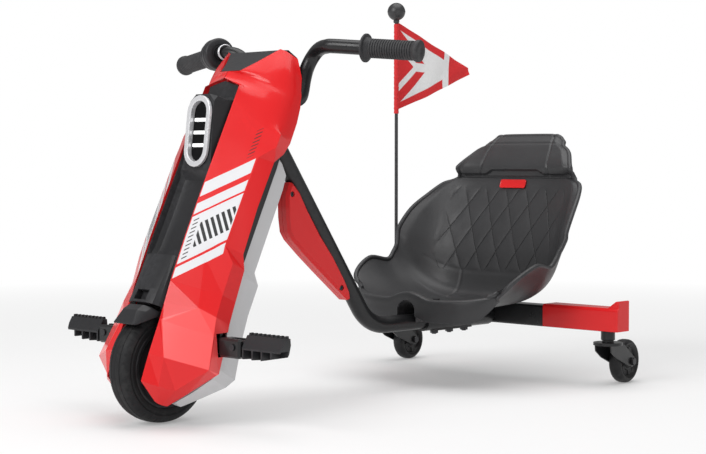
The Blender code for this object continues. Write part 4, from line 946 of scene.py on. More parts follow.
    @classmethod
    def twin(cls, thing: Piece, name: str, matrix: Matrix) -> Piece:
        """Copy of a piece with its own mesh, moved by a matrix; a mirrored copy is turned outwards again.

        Args:
            thing: the object.
            name: name of the copy.
            matrix: how the copy is moved.

        Returns:
            The copy.
        """
        other = thing.copy()
        other.data = thing.data.copy()
        other.name = other.data.name = name
        bpy.context.scene.collection.objects.link(other)
        other.data.transform(matrix)
        if matrix.determinant() < 0:
            other.data.flip_normals()
        return other

    @classmethod
    def screw_head(cls, name: str, spot: Vector, facing: Vector, radius: float, height: float,
                   recess: float = 0.45) -> Piece:
        """Round screw head with a domed rim and a six-sided socket, standing on a face.

        Args:
            name: name of the piece.
            spot: place on the face.
            facing: direction out of the face.
            radius: radius of the head.
            height: height of the head.
            recess: socket's share of the radius.

        Returns:
            The screw head.
        """
        cls.clear()
        way = facing.normalized()
        bpy.ops.mesh.primitive_cylinder_add(vertices=24, radius=radius, depth=height, location=spot + way * height / 2,
                                            rotation=way.to_track_quat("Z", "Y").to_euler())
        thing = cls.fresh(name)
        cls.edit(thing, False)
        cls.take(thing, "FACE", lambda f: f.normal.dot(way) > 0.9)
        bpy.ops.mesh.bevel(offset=height * 0.35, segments=3, affect="EDGES")
        cls.take(thing, "FACE", lambda f: f.normal.dot(way) > 0.99 and f.calc_area() > radius * radius * 0.3)
        bpy.ops.mesh.inset(thickness=radius * (1.0 - recess) * 0.7, depth=0.0)
        bpy.ops.mesh.inset(thickness=radius * 0.08, depth=-height * 0.5)
        cls.done()
        return cls.settle(thing, 40)


@dataclass
class Assembly:
    """Base of the sub-assemblies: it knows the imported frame, the finishes and how a piece joins a body."""

    frame: dict
    finishes: Finishes

    def build(self) -> None:
        """Build all pieces of the sub-assembly."""

    def home(self, node: str) -> str:
        """Name of the body that a CAD node belongs to."""
        return self.frame["nodes"][node]["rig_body"]

    def dress(self, piece: Piece, finish: Finish, body: str, nodes: Sequence[str] = ()) -> None:
        """Give a finished piece its material and body, and hide the CAD nodes that it stands for.

        Args:
            piece: the finished piece, in its place.
            finish: the finish of its surface.
            body: CAD body that it moves with.
            nodes: CAD nodes that it replaces.
        """
        Modeller.clear()
        piece.data.materials.clear()
        piece.data.materials.append(self.finishes.get(finish))
        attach(piece, body)
        if nodes:
            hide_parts(*nodes)
        LOG.info("%s on %s: %d faces", piece.name, body, len(piece.data.polygons))

    def lathe(self, name: str, profile: Sequence[Pair], centre: Vector, axis: Vector, steps: int,
              smooth: float, finish: Finish, body: str, nodes: Sequence[str] = ()) -> None:
        """Turn a profile of (distance along the axis, radius) round an axis, and dress the piece."""
        piece = Modeller.settle(Modeller.turned(name, profile, centre, axis, steps), smooth)
        self.dress(piece, finish, body, nodes)

    def blank(self, node: str, name: str) -> Piece:
        """Clean copy of a CAD node: merged, with flat regions dissolved and faces turned outwards.

        Args:
            node: name of the CAD node.
            name: name of the new piece.

        Returns:
            The copy, free of the frame's marks.
        """
        Modeller.clear()
        source = self.frame["nodes"][node]
        piece = source.copy()
        piece.data = source.data.copy()
        bpy.context.scene.collection.objects.link(piece)
        piece.parent = None
        piece.matrix_world = Matrix.Identity(4)
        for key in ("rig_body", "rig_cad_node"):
            if key in piece:
                del piece[key]
        piece.name = piece.data.name = name
        piece.hide_render = piece.hide_viewport = False
        Modeller.edit(piece)
        bpy.ops.mesh.remove_doubles(threshold=0.00001)
        bpy.ops.mesh.dissolve_limited(angle_limit=math.radians(0.6), use_dissolve_boundaries=False)
        bpy.ops.mesh.normals_make_consistent(inside=False)
        Modeller.done()
        if piece.data.has_custom_normals:
            bpy.ops.mesh.customdata_custom_splitnormals_clear()
        return piece

    def carry(self, node: str, finish: Finish, bevel: float = 0.0008, angle: float = 32.0,
              segments: int = 3, smooth: float = 40.0,
              shape: Callable[[Piece], None] | None = None) -> None:
        """Finish a CAD node's own form with rounded edges.

        Args:
            node: name of the CAD node.
            finish: the finish of its surface.
            bevel: width of the rounded edges in metres.
            angle: edges sharper than this many degrees are rounded.
            segments: steps of each rounded edge.
            smooth: shading angle in degrees.
            shape: further modelling step on the clean copy, before its edges are rounded.
        """
        piece = self.blank(node, node + "_finished")
        if shape is not None:
            shape(piece)
        if bevel:
            limit = "WEIGHT" if "bevel_weight_edge" in piece.data.attributes else "ANGLE"
            Modeller.rounded(piece, bevel, segments, angle, limit)
        Modeller.pick(piece)
        bpy.ops.object.shade_smooth_by_angle(angle=math.radians(smooth))
        Modeller.modify(piece, "WEIGHTED_NORMAL", keep_sharp=True)
        self.dress(piece, finish, self.home(node), [node])


# Sub-assemblies


@dataclass
class FrontWheel(Assembly):
    """Solid tyre on the hub motor, with the axle's nuts."""

    radius: float = 0.0825
    width: float = 0.042
    hub_radius: float = 0.0600
    hub_width: float = 0.040
    bolt_circle: float = 0.036
    bolts: int = 6
    tread_steps: int = 160
    sipe_every: int = 4
    shoulder: Point = (0.0016, 0.0078, 0.0065)
    sipe: Pair = (0.0008, 0.0004)

    def build(self) -> None:
        """Tyre, motor, axle and nuts."""
        self.tyre()
        self.motor()
        self.carry("front_axle", Finishes.ZINC, 0.0004)
        for side in Side:
            self.carry(f"axle_nut_{side.word}", Finishes.ZINC, 0.0006)

    def tyre(self) -> None:
        """Low round tread with three grooves, side ribs and short sipes at the shoulders."""
        half, top, hub = self.width / 2, self.radius, self.hub_radius + 0.0002
        crown = offset(-half, hub, ((0.0016, 0.0), (0.0, 0.003), (0.0, 0.007), (0.0012, 0.0085), (0.0012, 0.010),
                                    (0.0002, 0.0115)))
        crown += offset(-half, top, ((0.0010, -0.0075), (0.0030, -0.0040), (0.0062, -0.0018)))
        tread = offset(0.0, top, ((-0.0096, -0.0006), (-0.0092, -0.0011), (-0.0086, -0.0011), (-0.0082, -0.0004),
                                  (-0.0020, 0.0), (-0.0004, -0.0005), (0.0004, -0.0005), (0.0020, 0.0)))
        profile = crown + tread + mirrored(tread[:4]) + mirrored(crown) + [crown[0]]
        tyre = Modeller.turned("front_tyre_finished", profile, AXLE, SIDEWAYS, self.tread_steps)
        Modeller.edit(tyre, False)
        low, high, inward = self.shoulder

        def sipe(face: object) -> bool:
            """True for every fourth face round the shoulder.

            Args:
                face: face of the tyre.

            Returns:
                Whether a sipe is sunk in it.
            """
            middle = face.calc_center_median() - AXLE
            out = math.hypot(middle.y, middle.z)
            turn = math.degrees(math.atan2(middle.z, middle.y)) % 360.0
            step = int(turn * self.tread_steps / 360.0)
            return low < top - out < high and abs(middle.x) > half - inward and step % self.sipe_every == 0

        Modeller.take(tyre, "FACE", sipe)
        bpy.ops.mesh.inset(thickness=self.sipe[0], depth=-self.sipe[1], use_even_offset=True)
        Modeller.done()
        Modeller.settle(tyre, 38)
        self.dress(tyre, Finishes.TYRE, "front_wheel", ["front_tyre"])

    def motor(self) -> None:
        """Cast shell with stepped covers and cap screws."""
        half, hub = self.hub_width / 2, self.hub_radius
        face = offset(-half, 0.0, ((0.0, 0.0067), (0.0, 0.0170), (0.0016, 0.0185), (0.0030, 0.0240),
                                   (0.0030, 0.0290), (0.0010, 0.0305), (0.0006, 0.0420), (0.0022, 0.0440),
                                   (0.0030, 0.0520), (0.0012, 0.0540), (0.0004, hub - 0.0022), (0.0014, hub)))
        shell = Modeller.turned("hub_motor_finished", face + mirrored(face) + [face[0]], AXLE, SIDEWAYS, 96)
        parts = [shell]
        for side in Side:
            facing = Vector((side.value, 0, 0))
            for index in range(self.bolts):
                turn = math.tau * (index + 0.5) / self.bolts
                spot = AXLE + Vector((side.value * (half - 0.0010), math.cos(turn) * self.bolt_circle,
                                      math.sin(turn) * self.bolt_circle))
                parts.append(Modeller.screw_head("cap_screw", spot, facing, 0.0026, 0.0009))
        motor = Modeller.fuse(parts, "hub_motor_finished")
        Modeller.settle(motor, 35)
        self.dress(motor, Finishes.MOTOR, "front_wheel", ["hub_motor"])


@dataclass
class Seat(Assembly):
    """Moulded bucket seat with a quilted back, seams, a rolled rim and a plain badge."""

    half_width: float = 0.190
    wall: float = 0.0038
    pan: float = 0.1345
    hump_rise: float = 0.012
    hump_half: float = 0.052
    notch_half: float = 0.020
    rim_radius: float = 0.0042
    rim_drop: float = 0.0012
    across_steps: int = 128
    along_steps: int = 240
    quilt_pitch: float = 0.0455
    quilt_height: float = 0.084
    quilt_depth: float = 0.0009
    seam_depth: float = 0.0017
    border_width: float = 0.0135
    border_depth: float = 0.0085
    seam_width: float = 0.0022
    top_row: float = 20.0
    skirt_row: float = 2.2
    hump_from: float = 0.250
    hump_run: float = 0.020
    wing_from: float = 0.80
    wing_lift: float = 0.94
    wing_back: float = 0.012
    crease_row: float = 9.95
    cushion_row: float = 6.6
    ledge_height: float = 0.0030
    slit_rows: Pair = (2.0, 4.6)
    slit_slant: float = 0.006
    slit_depth: float = 0.0009
    hollow_rows: Pair = (5.0, 8.0)
    hollow_place: float = 0.062
    hollow_depth: float = 0.0030
    hollow_radius: float = 0.050
    neck_rows: Pair = (13.9, 14.95)
    neck_depth: float = 0.0022
    relax_rounds: int = 26
    relax_row: float = 6.0
    relax_from: float = 0.72
    arch_from: float = 0.276
    quilt_low: float = 10.0
    quilt_high: float = 13.8
    quilt_half: float = 0.132
    headrest_row: float = 15.0
    ledge_row: float = 15.62
    side_seam: float = 0.070
    cushion_soft: float = 0.012
    slits: tuple[float, ...] = (-0.092, -0.110, 0.066, 0.083)
    tunnel_depth: float = 0.0170
    edge_slack: float = 0.0115

    def rows(self) -> list[tuple[float, float, float, float, float]]:
        """Rows from the front skirt to the headrest's top.

        Returns:
            Forward, up, half width, and how far the row's ends stand forward and up of its middle.
        """
        pan, wide = self.pan, self.half_width
        return [
            (0.291, pan - 0.0240, 0.155, -0.048, 0.004), (0.290, pan - 0.0040, 0.157, -0.047, 0.006),
            (0.287, pan + 0.0120, 0.157, -0.046, 0.008), (0.272, pan + 0.0130, 0.160, -0.040, 0.014),
            (0.255, pan + 0.0040, 0.173, -0.022, 0.034), (0.225, pan, 0.184, -0.010, 0.055),
            (0.180, pan, wide, -0.004, 0.073), (0.135, pan, wide - 0.005, 0.000, 0.068),
            (0.095, pan + 0.002, wide - 0.004, 0.022, 0.080), (0.070, pan + 0.014, wide - 0.004, 0.038, 0.082),
            (0.058, pan + 0.050, wide - 0.004, 0.046, 0.066), (0.046, pan + 0.092, wide - 0.006, 0.052, 0.040),
            (0.026, pan + 0.140, wide - 0.012, 0.046, 0.024), (0.006, pan + 0.180, 0.165, 0.032, 0.012),
            (-0.004, pan + 0.206, 0.152, 0.020, 0.004), (-0.009, pan + 0.219, 0.129, 0.010, 0.001),
            (-0.007, pan + 0.238, 0.127, 0.012, 0.001), (-0.020, pan + 0.265, 0.109, 0.002, 0.000),
            (-0.0285, pan + 0.2795, 0.090, 0.001, -0.001), (-0.0400, pan + 0.2915, 0.083, 0.001, -0.002),
            (-0.048, pan + 0.2945, 0.080, 0.001, -0.002)]

    def row(self, level: float) -> list[float]:
        """Row at a level between two given rows, on a smooth curve through them.

        Args:
            level: row number, also between two rows.

        Returns:
            The five values of rows().
        """
        rows = self.rows()
        index = min(int(level), len(rows) - 2)
        return [curve_place(near, level - index) for near in zip(*around(rows, index))]

    def plain(self, level: float, across: float) -> Vector:
        """Place on the seat's upper face without its quilting.

        Args:
            level: row number from 0 at the skirt to 20 at the top.
            across: -1 at the right edge to 1 at the left edge.

        Returns:
            The place.
        """
        forward, up, half, swing, rise = self.row(level)
        bend = abs(across) ** 4.0
        hump = 0.0
        if forward > self.hump_from:
            share = min(1.0, (forward - self.hump_from) / self.hump_run)
            hump = self.hump_rise * share * max(0.0, 1.0 - (half * across / self.hump_half) ** 2) ** 2
        lift = 0.0
        if level < self.skirt_row:
            share = max(0.0, (abs(across) - self.wing_from) / (1.0 - self.wing_from)) ** 2
            lift = (self.rows()[2][1] - up) * share * self.wing_lift
            forward -= self.wing_back * share * (self.skirt_row - level) / self.skirt_row
        return kart(forward + swing * bend, half * across, up + hump + rise * bend + lift)

    @staticmethod
    def dip(distance: float, width: float) -> float:
        """Rounded groove: 1 on its line, 0 outside its width."""
        return math.exp(-(distance / width) ** 2) if abs(distance) < 4 * width else 0.0

    def carve(self, level: float, across: float, place: Vector) -> float:
        """How far the surface stands out of the plain face, in metres; grooves are below it.

        Args:
            level: row number.
            across: place across the seat, -1 to 1.
            place: the plain place.

        Returns:
            The height over the plain face.
        """
        half = self.row(level)[2]
        side = half * across
        seam = self.seam_width * 0.7
        out = -self.roll_depth(level, half * (1.0 - abs(across)))
        if self.quilt_low <= level <= self.quilt_high and abs(side) < self.quilt_half:
            height = place.z - self.pan
            fade = min(1.0, (level - self.quilt_low) / 0.12, (self.quilt_high - level) / 0.5)
            phases = [(side / self.quilt_pitch + way * height / self.quilt_height) % 1.0 for way in (1, -1)]
            apart = [min(part, 1.0 - part) * self.quilt_pitch * 0.88 for part in phases]
            out -= self.quilt_depth * fade * max(self.dip(part, self.seam_width * 0.62) for part in apart)
            out += 0.0006 * fade * math.prod(min(1.0, part / self.cushion_soft) for part in apart)
        if abs(across) < self.wing_from:
            out -= self.seam_depth * self.dip((level - self.crease_row) * 0.040, seam)
        if self.cushion_row < level < self.crease_row:
            out -= self.seam_depth * 0.8 * self.dip(abs(side) - self.side_seam, seam)
        if level > self.headrest_row:
            above = level - self.headrest_row
            out -= self.seam_depth * min(1.0, above / 0.1) * self.dip(abs(side) - 0.079 + above * 0.004, seam)
            ledge = self.ledge_row - 0.42 * min(1.0, max(0.0, (abs(side) - 0.052) / 0.014))
            rise = min(1.0, max(0.0, (level - ledge) / 0.14))
            out += self.ledge_height * rise * max(0.0, min(1.0, (19.0 - level) / 2.5))
            out -= 0.0012 * self.dip((level - 18.0) * 0.014, 0.0014)
        if self.neck_rows[0] < level <= self.headrest_row:
            out -= self.neck_depth * self.dip((level - self.neck_rows[1]) * 0.02, self.neck_depth)
        low, high = self.slit_rows
        if low < level < high:
            for spot in self.slits:
                slant = spot + (level - 3.0) * self.slit_slant
                out -= self.slit_depth * self.dip(side - slant, 0.0012) * min(1.0, high - level)
        if self.hollow_rows[0] < level < self.hollow_rows[1]:
            apart = math.hypot(abs(side) - self.hollow_place, (level - self.cushion_row) * 0.034)
            out -= self.hollow_depth * self.dip(apart, self.hollow_radius)
        return out

    def roll_depth(self, level: float, inside: float) -> float:
        """How far the outer border falls back.

        Args:
            level: row number.
            inside: distance from the seat's side edge in metres.

        Returns:
            Depth in metres, 0 inside the border.
        """
        width, depth = self.border_width, self.border_depth
        share = min(1.0, max(0.0, (level - 8.8) / 1.2))
        return depth * share * max(0.0, 1.0 - inside / width) ** 1.4

    def build(self) -> None:
        """Shell with rolled rim, then badge, bolts and carrier."""
        self.shell()
        self.badge()
        for side in Side:
            self.carry(f"seat_bolt_{side.word}", Finishes.DARK_BOLT, 0.0005)
        self.carry("seat_carrier", Finishes.COAT, 0.0010)

    def shell(self) -> None:
        """Fine grid put in its place row by row, thickened, with the tube's arch cut into its lip."""
        Modeller.clear()
        bpy.ops.mesh.primitive_grid_add(x_subdivisions=self.across_steps, y_subdivisions=self.along_steps,
                                        size=2.0, location=(0, 0, 0))
        shell = bpy.context.object
        shell.name = shell.data.name = "seat_shell_finished"
        grid: dict[tuple[int, int], Vector] = {}
        levels, columns = self.along_steps, self.across_steps
        for down in range(levels + 1):
            for over in range(columns + 1):
                grid[down, over] = self.plain(self.top_row * down / levels, 2.0 * over / columns - 1.0)
        shown: dict[tuple[int, int], Vector] = {}
        spots: dict[tuple[int, int], int] = {}
        for vertex in shell.data.vertices:
            over = round((vertex.co.x + 1.0) / 2.0 * columns)
            down = round((vertex.co.y + 1.0) / 2.0 * levels)
            spots[down, over] = vertex.index
            run = grid[down, min(columns, over + 1)] - grid[down, max(0, over - 1)]
            rise = grid[min(levels, down + 1), over] - grid[max(0, down - 1), over]
            place = grid[down, over]
            out = self.carve(self.top_row * down / levels, 2.0 * over / columns - 1.0, place)
            vertex.co = place + run.cross(rise).normalized() * out
            shown[down, over] = vertex.co.copy()
        self.relax(shown)
        for spot, index in spots.items():
            shell.data.vertices[index].co = shown[spot]
        shell.data.update()
        self.open_arch(shell)
        Modeller.modify(shell, "SOLIDIFY", thickness=self.wall, offset=-1.0, use_even_offset=False,
                        use_rim=True)
        Modeller.outward(shell)
        whole = Modeller.fuse([shell, self.rim(shown), self.tunnel()], "seat_shell_finished")
        Modeller.settle(whole, 50)
        self.dress(whole, Finishes.SEAT, "frame", ["seat_shell"])

    def relax(self, shown: dict[tuple[int, int], Vector]) -> None:
        """Even out the corners where the lip turns into the wings.

        Args:
            shown: places by row and column, changed in place.
        """
        columns, last = self.across_steps, int(self.along_steps * self.relax_row / self.top_row)
        outer = [over for over in range(columns + 1) if abs(2.0 * over / columns - 1.0) > self.relax_from]
        for _ in range(self.relax_rounds):
            before = {spot: place.copy() for spot, place in shown.items() if spot[0] <= last + 1}
            for down in range(1, last):
                for over in outer:
                    near = [before[down - 1, over], before[down + 1, over]]
                    if 0 < over < columns:
                        near += [before[down, over - 1], before[down, over + 1]]
                    middle = sum(near, Vector()) / len(near)
                    edge = abs(2.0 * over / columns - 1.0) - self.relax_from
                    fade = min(1.0, edge / 0.10, (last - down) / 12.0)
                    shown[down, over] = before[down, over].lerp(middle, 0.6 * fade)

    def open_arch(self, shell: Piece) -> None:
        """Cut the arch for the main tube into the front lip.

        Args:
            shell: the seat's surface before its wall is made.
        """
        Modeller.edit(shell, False)
        up = self.pan + self.edge_slack - self.notch_half

        def inside(face: object) -> bool:
            """True for faces of the lip that the arch takes away.

            Args:
                face: face of the surface.

            Returns:
                Whether it goes.
            """
            spot = face.calc_center_median()
            if spot.y > CASTER_LINE_Y - self.arch_from:
                return False
            return math.hypot(spot.x, max(0.0, spot.z - up)) < self.notch_half

        Modeller.take(shell, "FACE", inside)
        bpy.ops.mesh.delete(type="FACE")
        Modeller.done()

    def rim(self, grid: dict[tuple[int, int], Vector]) -> Piece:
        """Rolled edge along both sides and over the top.

        Args:
            grid: places of the surface by row and column.

        Returns:
            The rolled edge.
        """
        levels, columns = self.along_steps, self.across_steps
        start = round(levels * 0.6 / self.top_row)
        high = levels - 9
        route = [grid[down, 0] for down in range(start, high + 1, 2)]
        route += [grid[levels, over] for over in range(5, columns - 4, 2)]
        route += [grid[down, columns] for down in range(high, start - 1, -2)]
        count = len(route)
        sizes = [self.rim_radius * min(1.0, 0.50 + 0.025 * min(index, count - 1 - index)) for index in range(count)]
        return Modeller.tube("seat_rim", [place - UPWARD * self.rim_drop for place in route], sizes, 12)

    def tunnel(self) -> Piece:
        """Half pipe behind the arch, closed over the main tube.

        Returns:
            The half pipe.
        """
        Modeller.clear()
        radius, up = self.notch_half, self.pan + self.edge_slack - self.notch_half
        start, end = kart(0.2885, 0.0, up), kart(0.2450, 0.0, up)
        middle = (start + end) / 2
        bpy.ops.mesh.primitive_cylinder_add(vertices=48, radius=radius, depth=(end - start).length,
                                            end_fill_type="NOTHING", location=middle,
                                            rotation=(math.pi / 2, 0.0, 0.0))
        pipe = Modeller.fresh("seat_tunnel")
        Modeller.edit(pipe, False)
        Modeller.take(pipe, "FACE", lambda f: f.calc_center_median().z < up - 0.0010)
        bpy.ops.mesh.delete(type="FACE")
        Modeller.take(pipe, "EDGE", lambda e: e.is_boundary and abs(e.verts[0].co.z - e.verts[1].co.z) < 0.0001
                      and abs(e.verts[0].co.y - e.verts[1].co.y) > 0.01)
        bpy.ops.mesh.extrude_region_move(TRANSFORM_OT_translate={"value": (0.0, 0.0, -self.tunnel_depth)})
        Modeller.done()
        Modeller.modify(pipe, "SOLIDIFY", thickness=0.0018, offset=1.0)
        Modeller.outward(pipe)
        return pipe

    def badge(self) -> None:
        """Plain raised red badge with a narrow border step."""
        badge = self.blank("headrest_badge", "headrest_badge_finished")
        low, high = self.plain(13.0, 0.0), self.plain(14.0, 0.0)
        facing = (high - low).cross(SIDEWAYS).normalized()
        facing = -facing if facing.y > 0 else facing
        Modeller.edit(badge, False)
        Modeller.take(badge, "FACE", lambda f: f.normal.dot(facing) > 0.95)
        bpy.ops.mesh.inset(thickness=0.0010, depth=0.0)
        bpy.ops.mesh.inset(thickness=0.0004, depth=-0.0004)
        Modeller.done()
        Modeller.rounded(badge, 0.0004, 3, 40.0)
        Modeller.settle(badge, 40)
        self.dress(badge, Finishes.RED_PLAIN, "frame", ["headrest_badge"])


@dataclass
class Chassis(Assembly):
    """Main tube, sleeve, crossbeam, red covers and their screws."""

    tube_radius: float = 0.014
    level: float = 0.108
    slope: float = math.radians(55.0)
    bend: float = 0.075
    sleeve_front: float = 0.250
    meets_axis: float = 0.4338
    panel_half: float = 0.0135

    def route(self) -> list[Vector]:
        """Centreline of the main tube from inside the sleeve to the head tube.

        Returns:
            Places on the centreline.
        """
        head = column(0.0, 0.0, self.meets_axis)
        head_forward, head_up = CASTER_LINE_Y - head.y, head.z
        corner = head_forward - (head_up - self.level) / math.tan(self.slope)
        tangent = self.bend * math.tan(self.slope / 2)
        places = [(self.sleeve_front - 0.150, self.level), (corner - tangent, self.level)]
        for step in range(1, 25):
            turn = self.slope * step / 24
            places.append((corner - tangent + self.bend * math.sin(turn),
                           self.level + self.bend * (1.0 - math.cos(turn))))
        back = Vector((head_forward - corner, head_up - self.level)).normalized() * 0.021
        places.append((head_forward - back.x, head_up - back.y))
        return [kart(forward, 0.0, up) for forward, up in places]

    def build(self) -> None:
        """All pieces that stay still with the frame, except seat and flag."""
        tube = Modeller.tube("main_tube_finished", self.route(), self.tube_radius, 40)
        Modeller.settle(tube, 40)
        self.dress(tube, Finishes.COAT, "frame", ["main_tube"])
        self.carry("head_tube", Finishes.COAT, 0.0004)
        for word in ("lower", "upper"):
            self.carry(f"head_bearing_{word}", Finishes.ZINC, 0.0005)
        self.carry("rear_sleeve", Finishes.COAT, 0.0006)
        self.carry("crossbeam", Finishes.COAT, 0.0005)
        for name in ("front", "middle", "rear"):
            self.carry(f"clamp_bolt_{name}", Finishes.DARK_BOLT, 0.0005)
        for side in Side:
            self.carry(f"frame_panel_{side.word}", Finishes.RED_PLAIN, 0.0010)
            self.carry(f"end_cover_{side.word}", Finishes.RED_PLAIN, 0.0022, 34.0, 4)
            self.screws(side)

    def screws(self, side: Side) -> None:
        """Two sunk screws in the frame panel.

        Args:
            side: left or right.
        """
        for index, (forward, up) in enumerate(((0.5710, 0.3300), (0.4600, 0.1770))):
            spot = kart(forward, side.value * (self.panel_half - 0.0028), up)
            head = Modeller.screw_head(f"panel_screw_{side.word}_{index + 1}", spot, Vector((side.value, 0, 0)),
                                       0.0038, 0.0018)
            self.dress(head, Finishes.DARK_BOLT, "frame")


@dataclass
class Bodywork(Assembly):
    """Leaning column: red panels, grey shells, inner frames, spine cover, mudguard, dash and fork."""

    button_radius: float = 0.0068
    button_way: Point = (0.0, 0.477002, 0.878906)
    ring_lift: float = 0.0027
    recess_place: Point = (0.0, 0.0755, 0.0820)
    recess_size: Point = (0.0255, 0.0200, 0.0155)
    soft_from: float = 0.3635
    crisp: float = math.radians(4.0)
    rim: float = math.radians(72.0)

    def build(self) -> None:
        """Carry the moulded shells over, with what is fixed in and on them."""
        for side in Side:
            self.carry(f"body_panel_{side.word}", Finishes.RED, 0.0024, 4.0, 4, 30.0, shape=self.soften)
            self.carry(f"rear_shell_{side.word}", Finishes.GREY, 0.0018, 5.0, 3, 30.0)
            self.carry(f"inner_frame_{side.word}", Finishes.BLACK, 0.0005)
        self.carry("spine_cover", Finishes.BLACK, 0.0012, 18.0, 3, shape=self.recess)
        self.carry("mudguard", Finishes.BLACK, 0.0010, 26.0, 3)
        self.dash()
        self.carry("battery_pack", Finishes.BATTERY, 0.0020)
        self.carry("motor_controller", Finishes.MOTOR, 0.0015)
        self.carry("fork", Finishes.COAT, 0.0008)

    def soften(self, panel: Piece) -> None:
        """Make one soft form of a panel's upper facets and mark the edges that are rounded as they are.

        Args:
            panel: clean copy of the panel.
        """
        Modeller.edit(panel, False)
        Modeller.take(panel, "FACE", lambda face: min(height_up(c.co) for c in face.verts) > self.soft_from)
        bpy.ops.mesh.subdivide(number_cuts=3)
        bpy.ops.mesh.select_mode(type="VERT")
        bpy.ops.mesh.select_all(action="DESELECT")
        work = bmesh.from_edit_mesh(panel.data)
        for vertex in work.verts:
            sharp = any(edge.calc_face_angle(math.pi) > self.rim for edge in vertex.link_edges)
            vertex.select_set(height_up(vertex.co) > self.soft_from + 0.004 and not sharp)
        bmesh.update_edit_mesh(panel.data)
        bpy.ops.mesh.vertices_smooth(factor=0.5, repeat=12)
        work = bmesh.from_edit_mesh(panel.data)
        weight = work.edges.layers.float.new("bevel_weight_edge")
        for edge in work.edges:
            soft = min(height_up(end.co) for end in edge.verts) > self.soft_from
            edge[weight] = float(edge.calc_face_angle(0.0) > (self.rim if soft else self.crisp))
        bmesh.update_edit_mesh(panel.data)
        Modeller.done()

    def recess(self, piece: Piece) -> None:
        """Deepen the small recess near the spine cover's foot, over the mudguard.

        Args:
            piece: clean copy of the spine cover.
        """
        cutter = Modeller.block("recess_cutter", column(*self.recess_place), RAKE, self.recess_size)
        Modeller.modify(piece, "BOOLEAN", object=cutter, operation="DIFFERENCE", solver="EXACT")
        bpy.data.objects.remove(cutter, do_unlink=True)

    def dash(self) -> None:
        """Dash cover, and the power button with its ring."""
        self.carry("dash_cover", Finishes.BLACK, 0.0010, 24.0, 3)
        self.carry("power_button", Finishes.RED_PLAIN, 0.0005, 34.0, 3)
        normal = Vector(self.button_way)
        profile = offset(0.0, self.button_radius, ((0.0003, 0.0010), (0.0013, 0.0012), (0.0018, 0.0022),
                                                   (0.0012, 0.0032), (0.0001, 0.0036), (0.0003, 0.0010)))
        self.lathe("button_ring", profile, middle_of("power_button") + normal * self.ring_lift, normal, 48, 50,
                   Finishes.SILVER, "steering")


@dataclass
class Lamp(Assembly):
    """Silver ring, dark mask, milky light guide and its tray."""

    back: Point = (0.0, 0.07485, 0.3448)
    way: Vector = field(default_factory=lambda: column(0, 0.0895, 0.3875) - column(0, 0.0602, 0.3021))
    wide: float = 0.0375
    tall: float = 0.0945
    depth: float = 0.0096
    lip: float = 0.0016

    def build(self) -> None:
        """Ring, mask, light guide and tray."""
        self.carry("lamp_ring", Finishes.SILVER, 0.0016, 40.0, 5, 45.0)
        self.carry("lamp_mask", Finishes.BLACK_GLOSS, 0.0002)
        self.carry("light_guide", Finishes.LIGHT, 0.0004)
        self.housing()

    def housing(self) -> None:
        """Black tray that holds the light guide and keeps its light off the inside of the column."""
        turn = math.atan2(self.way.y, self.way.z)
        forward = Vector((0.0, -math.cos(turn), math.sin(turn)))
        middle = column(*self.back) + forward * (self.lip - self.depth / 2)
        tray = Modeller.settle(Modeller.block("lamp_housing", middle, turn, (self.wide, self.depth, self.tall)))
        Modeller.edit(tray, False)
        Modeller.take(tray, "EDGE", lambda edge: abs((edge.verts[0].co - edge.verts[1].co).normalized().dot(forward))
                      > 0.9)
        bpy.ops.mesh.bevel(offset=0.010, segments=6)
        Modeller.take(tray, "FACE", lambda face: face.normal.dot(forward) > 0.9)
        bpy.ops.mesh.inset(thickness=0.0016)
        bpy.ops.mesh.extrude_region_move(TRANSFORM_OT_translate={"value": -forward * (self.lip + 0.0001)})
        Modeller.done()
        Modeller.rounded(tray, 0.0004, 2, 40.0)
        Modeller.settle(tray, 40)
        self.dress(tray, Finishes.BLACK, "steering")


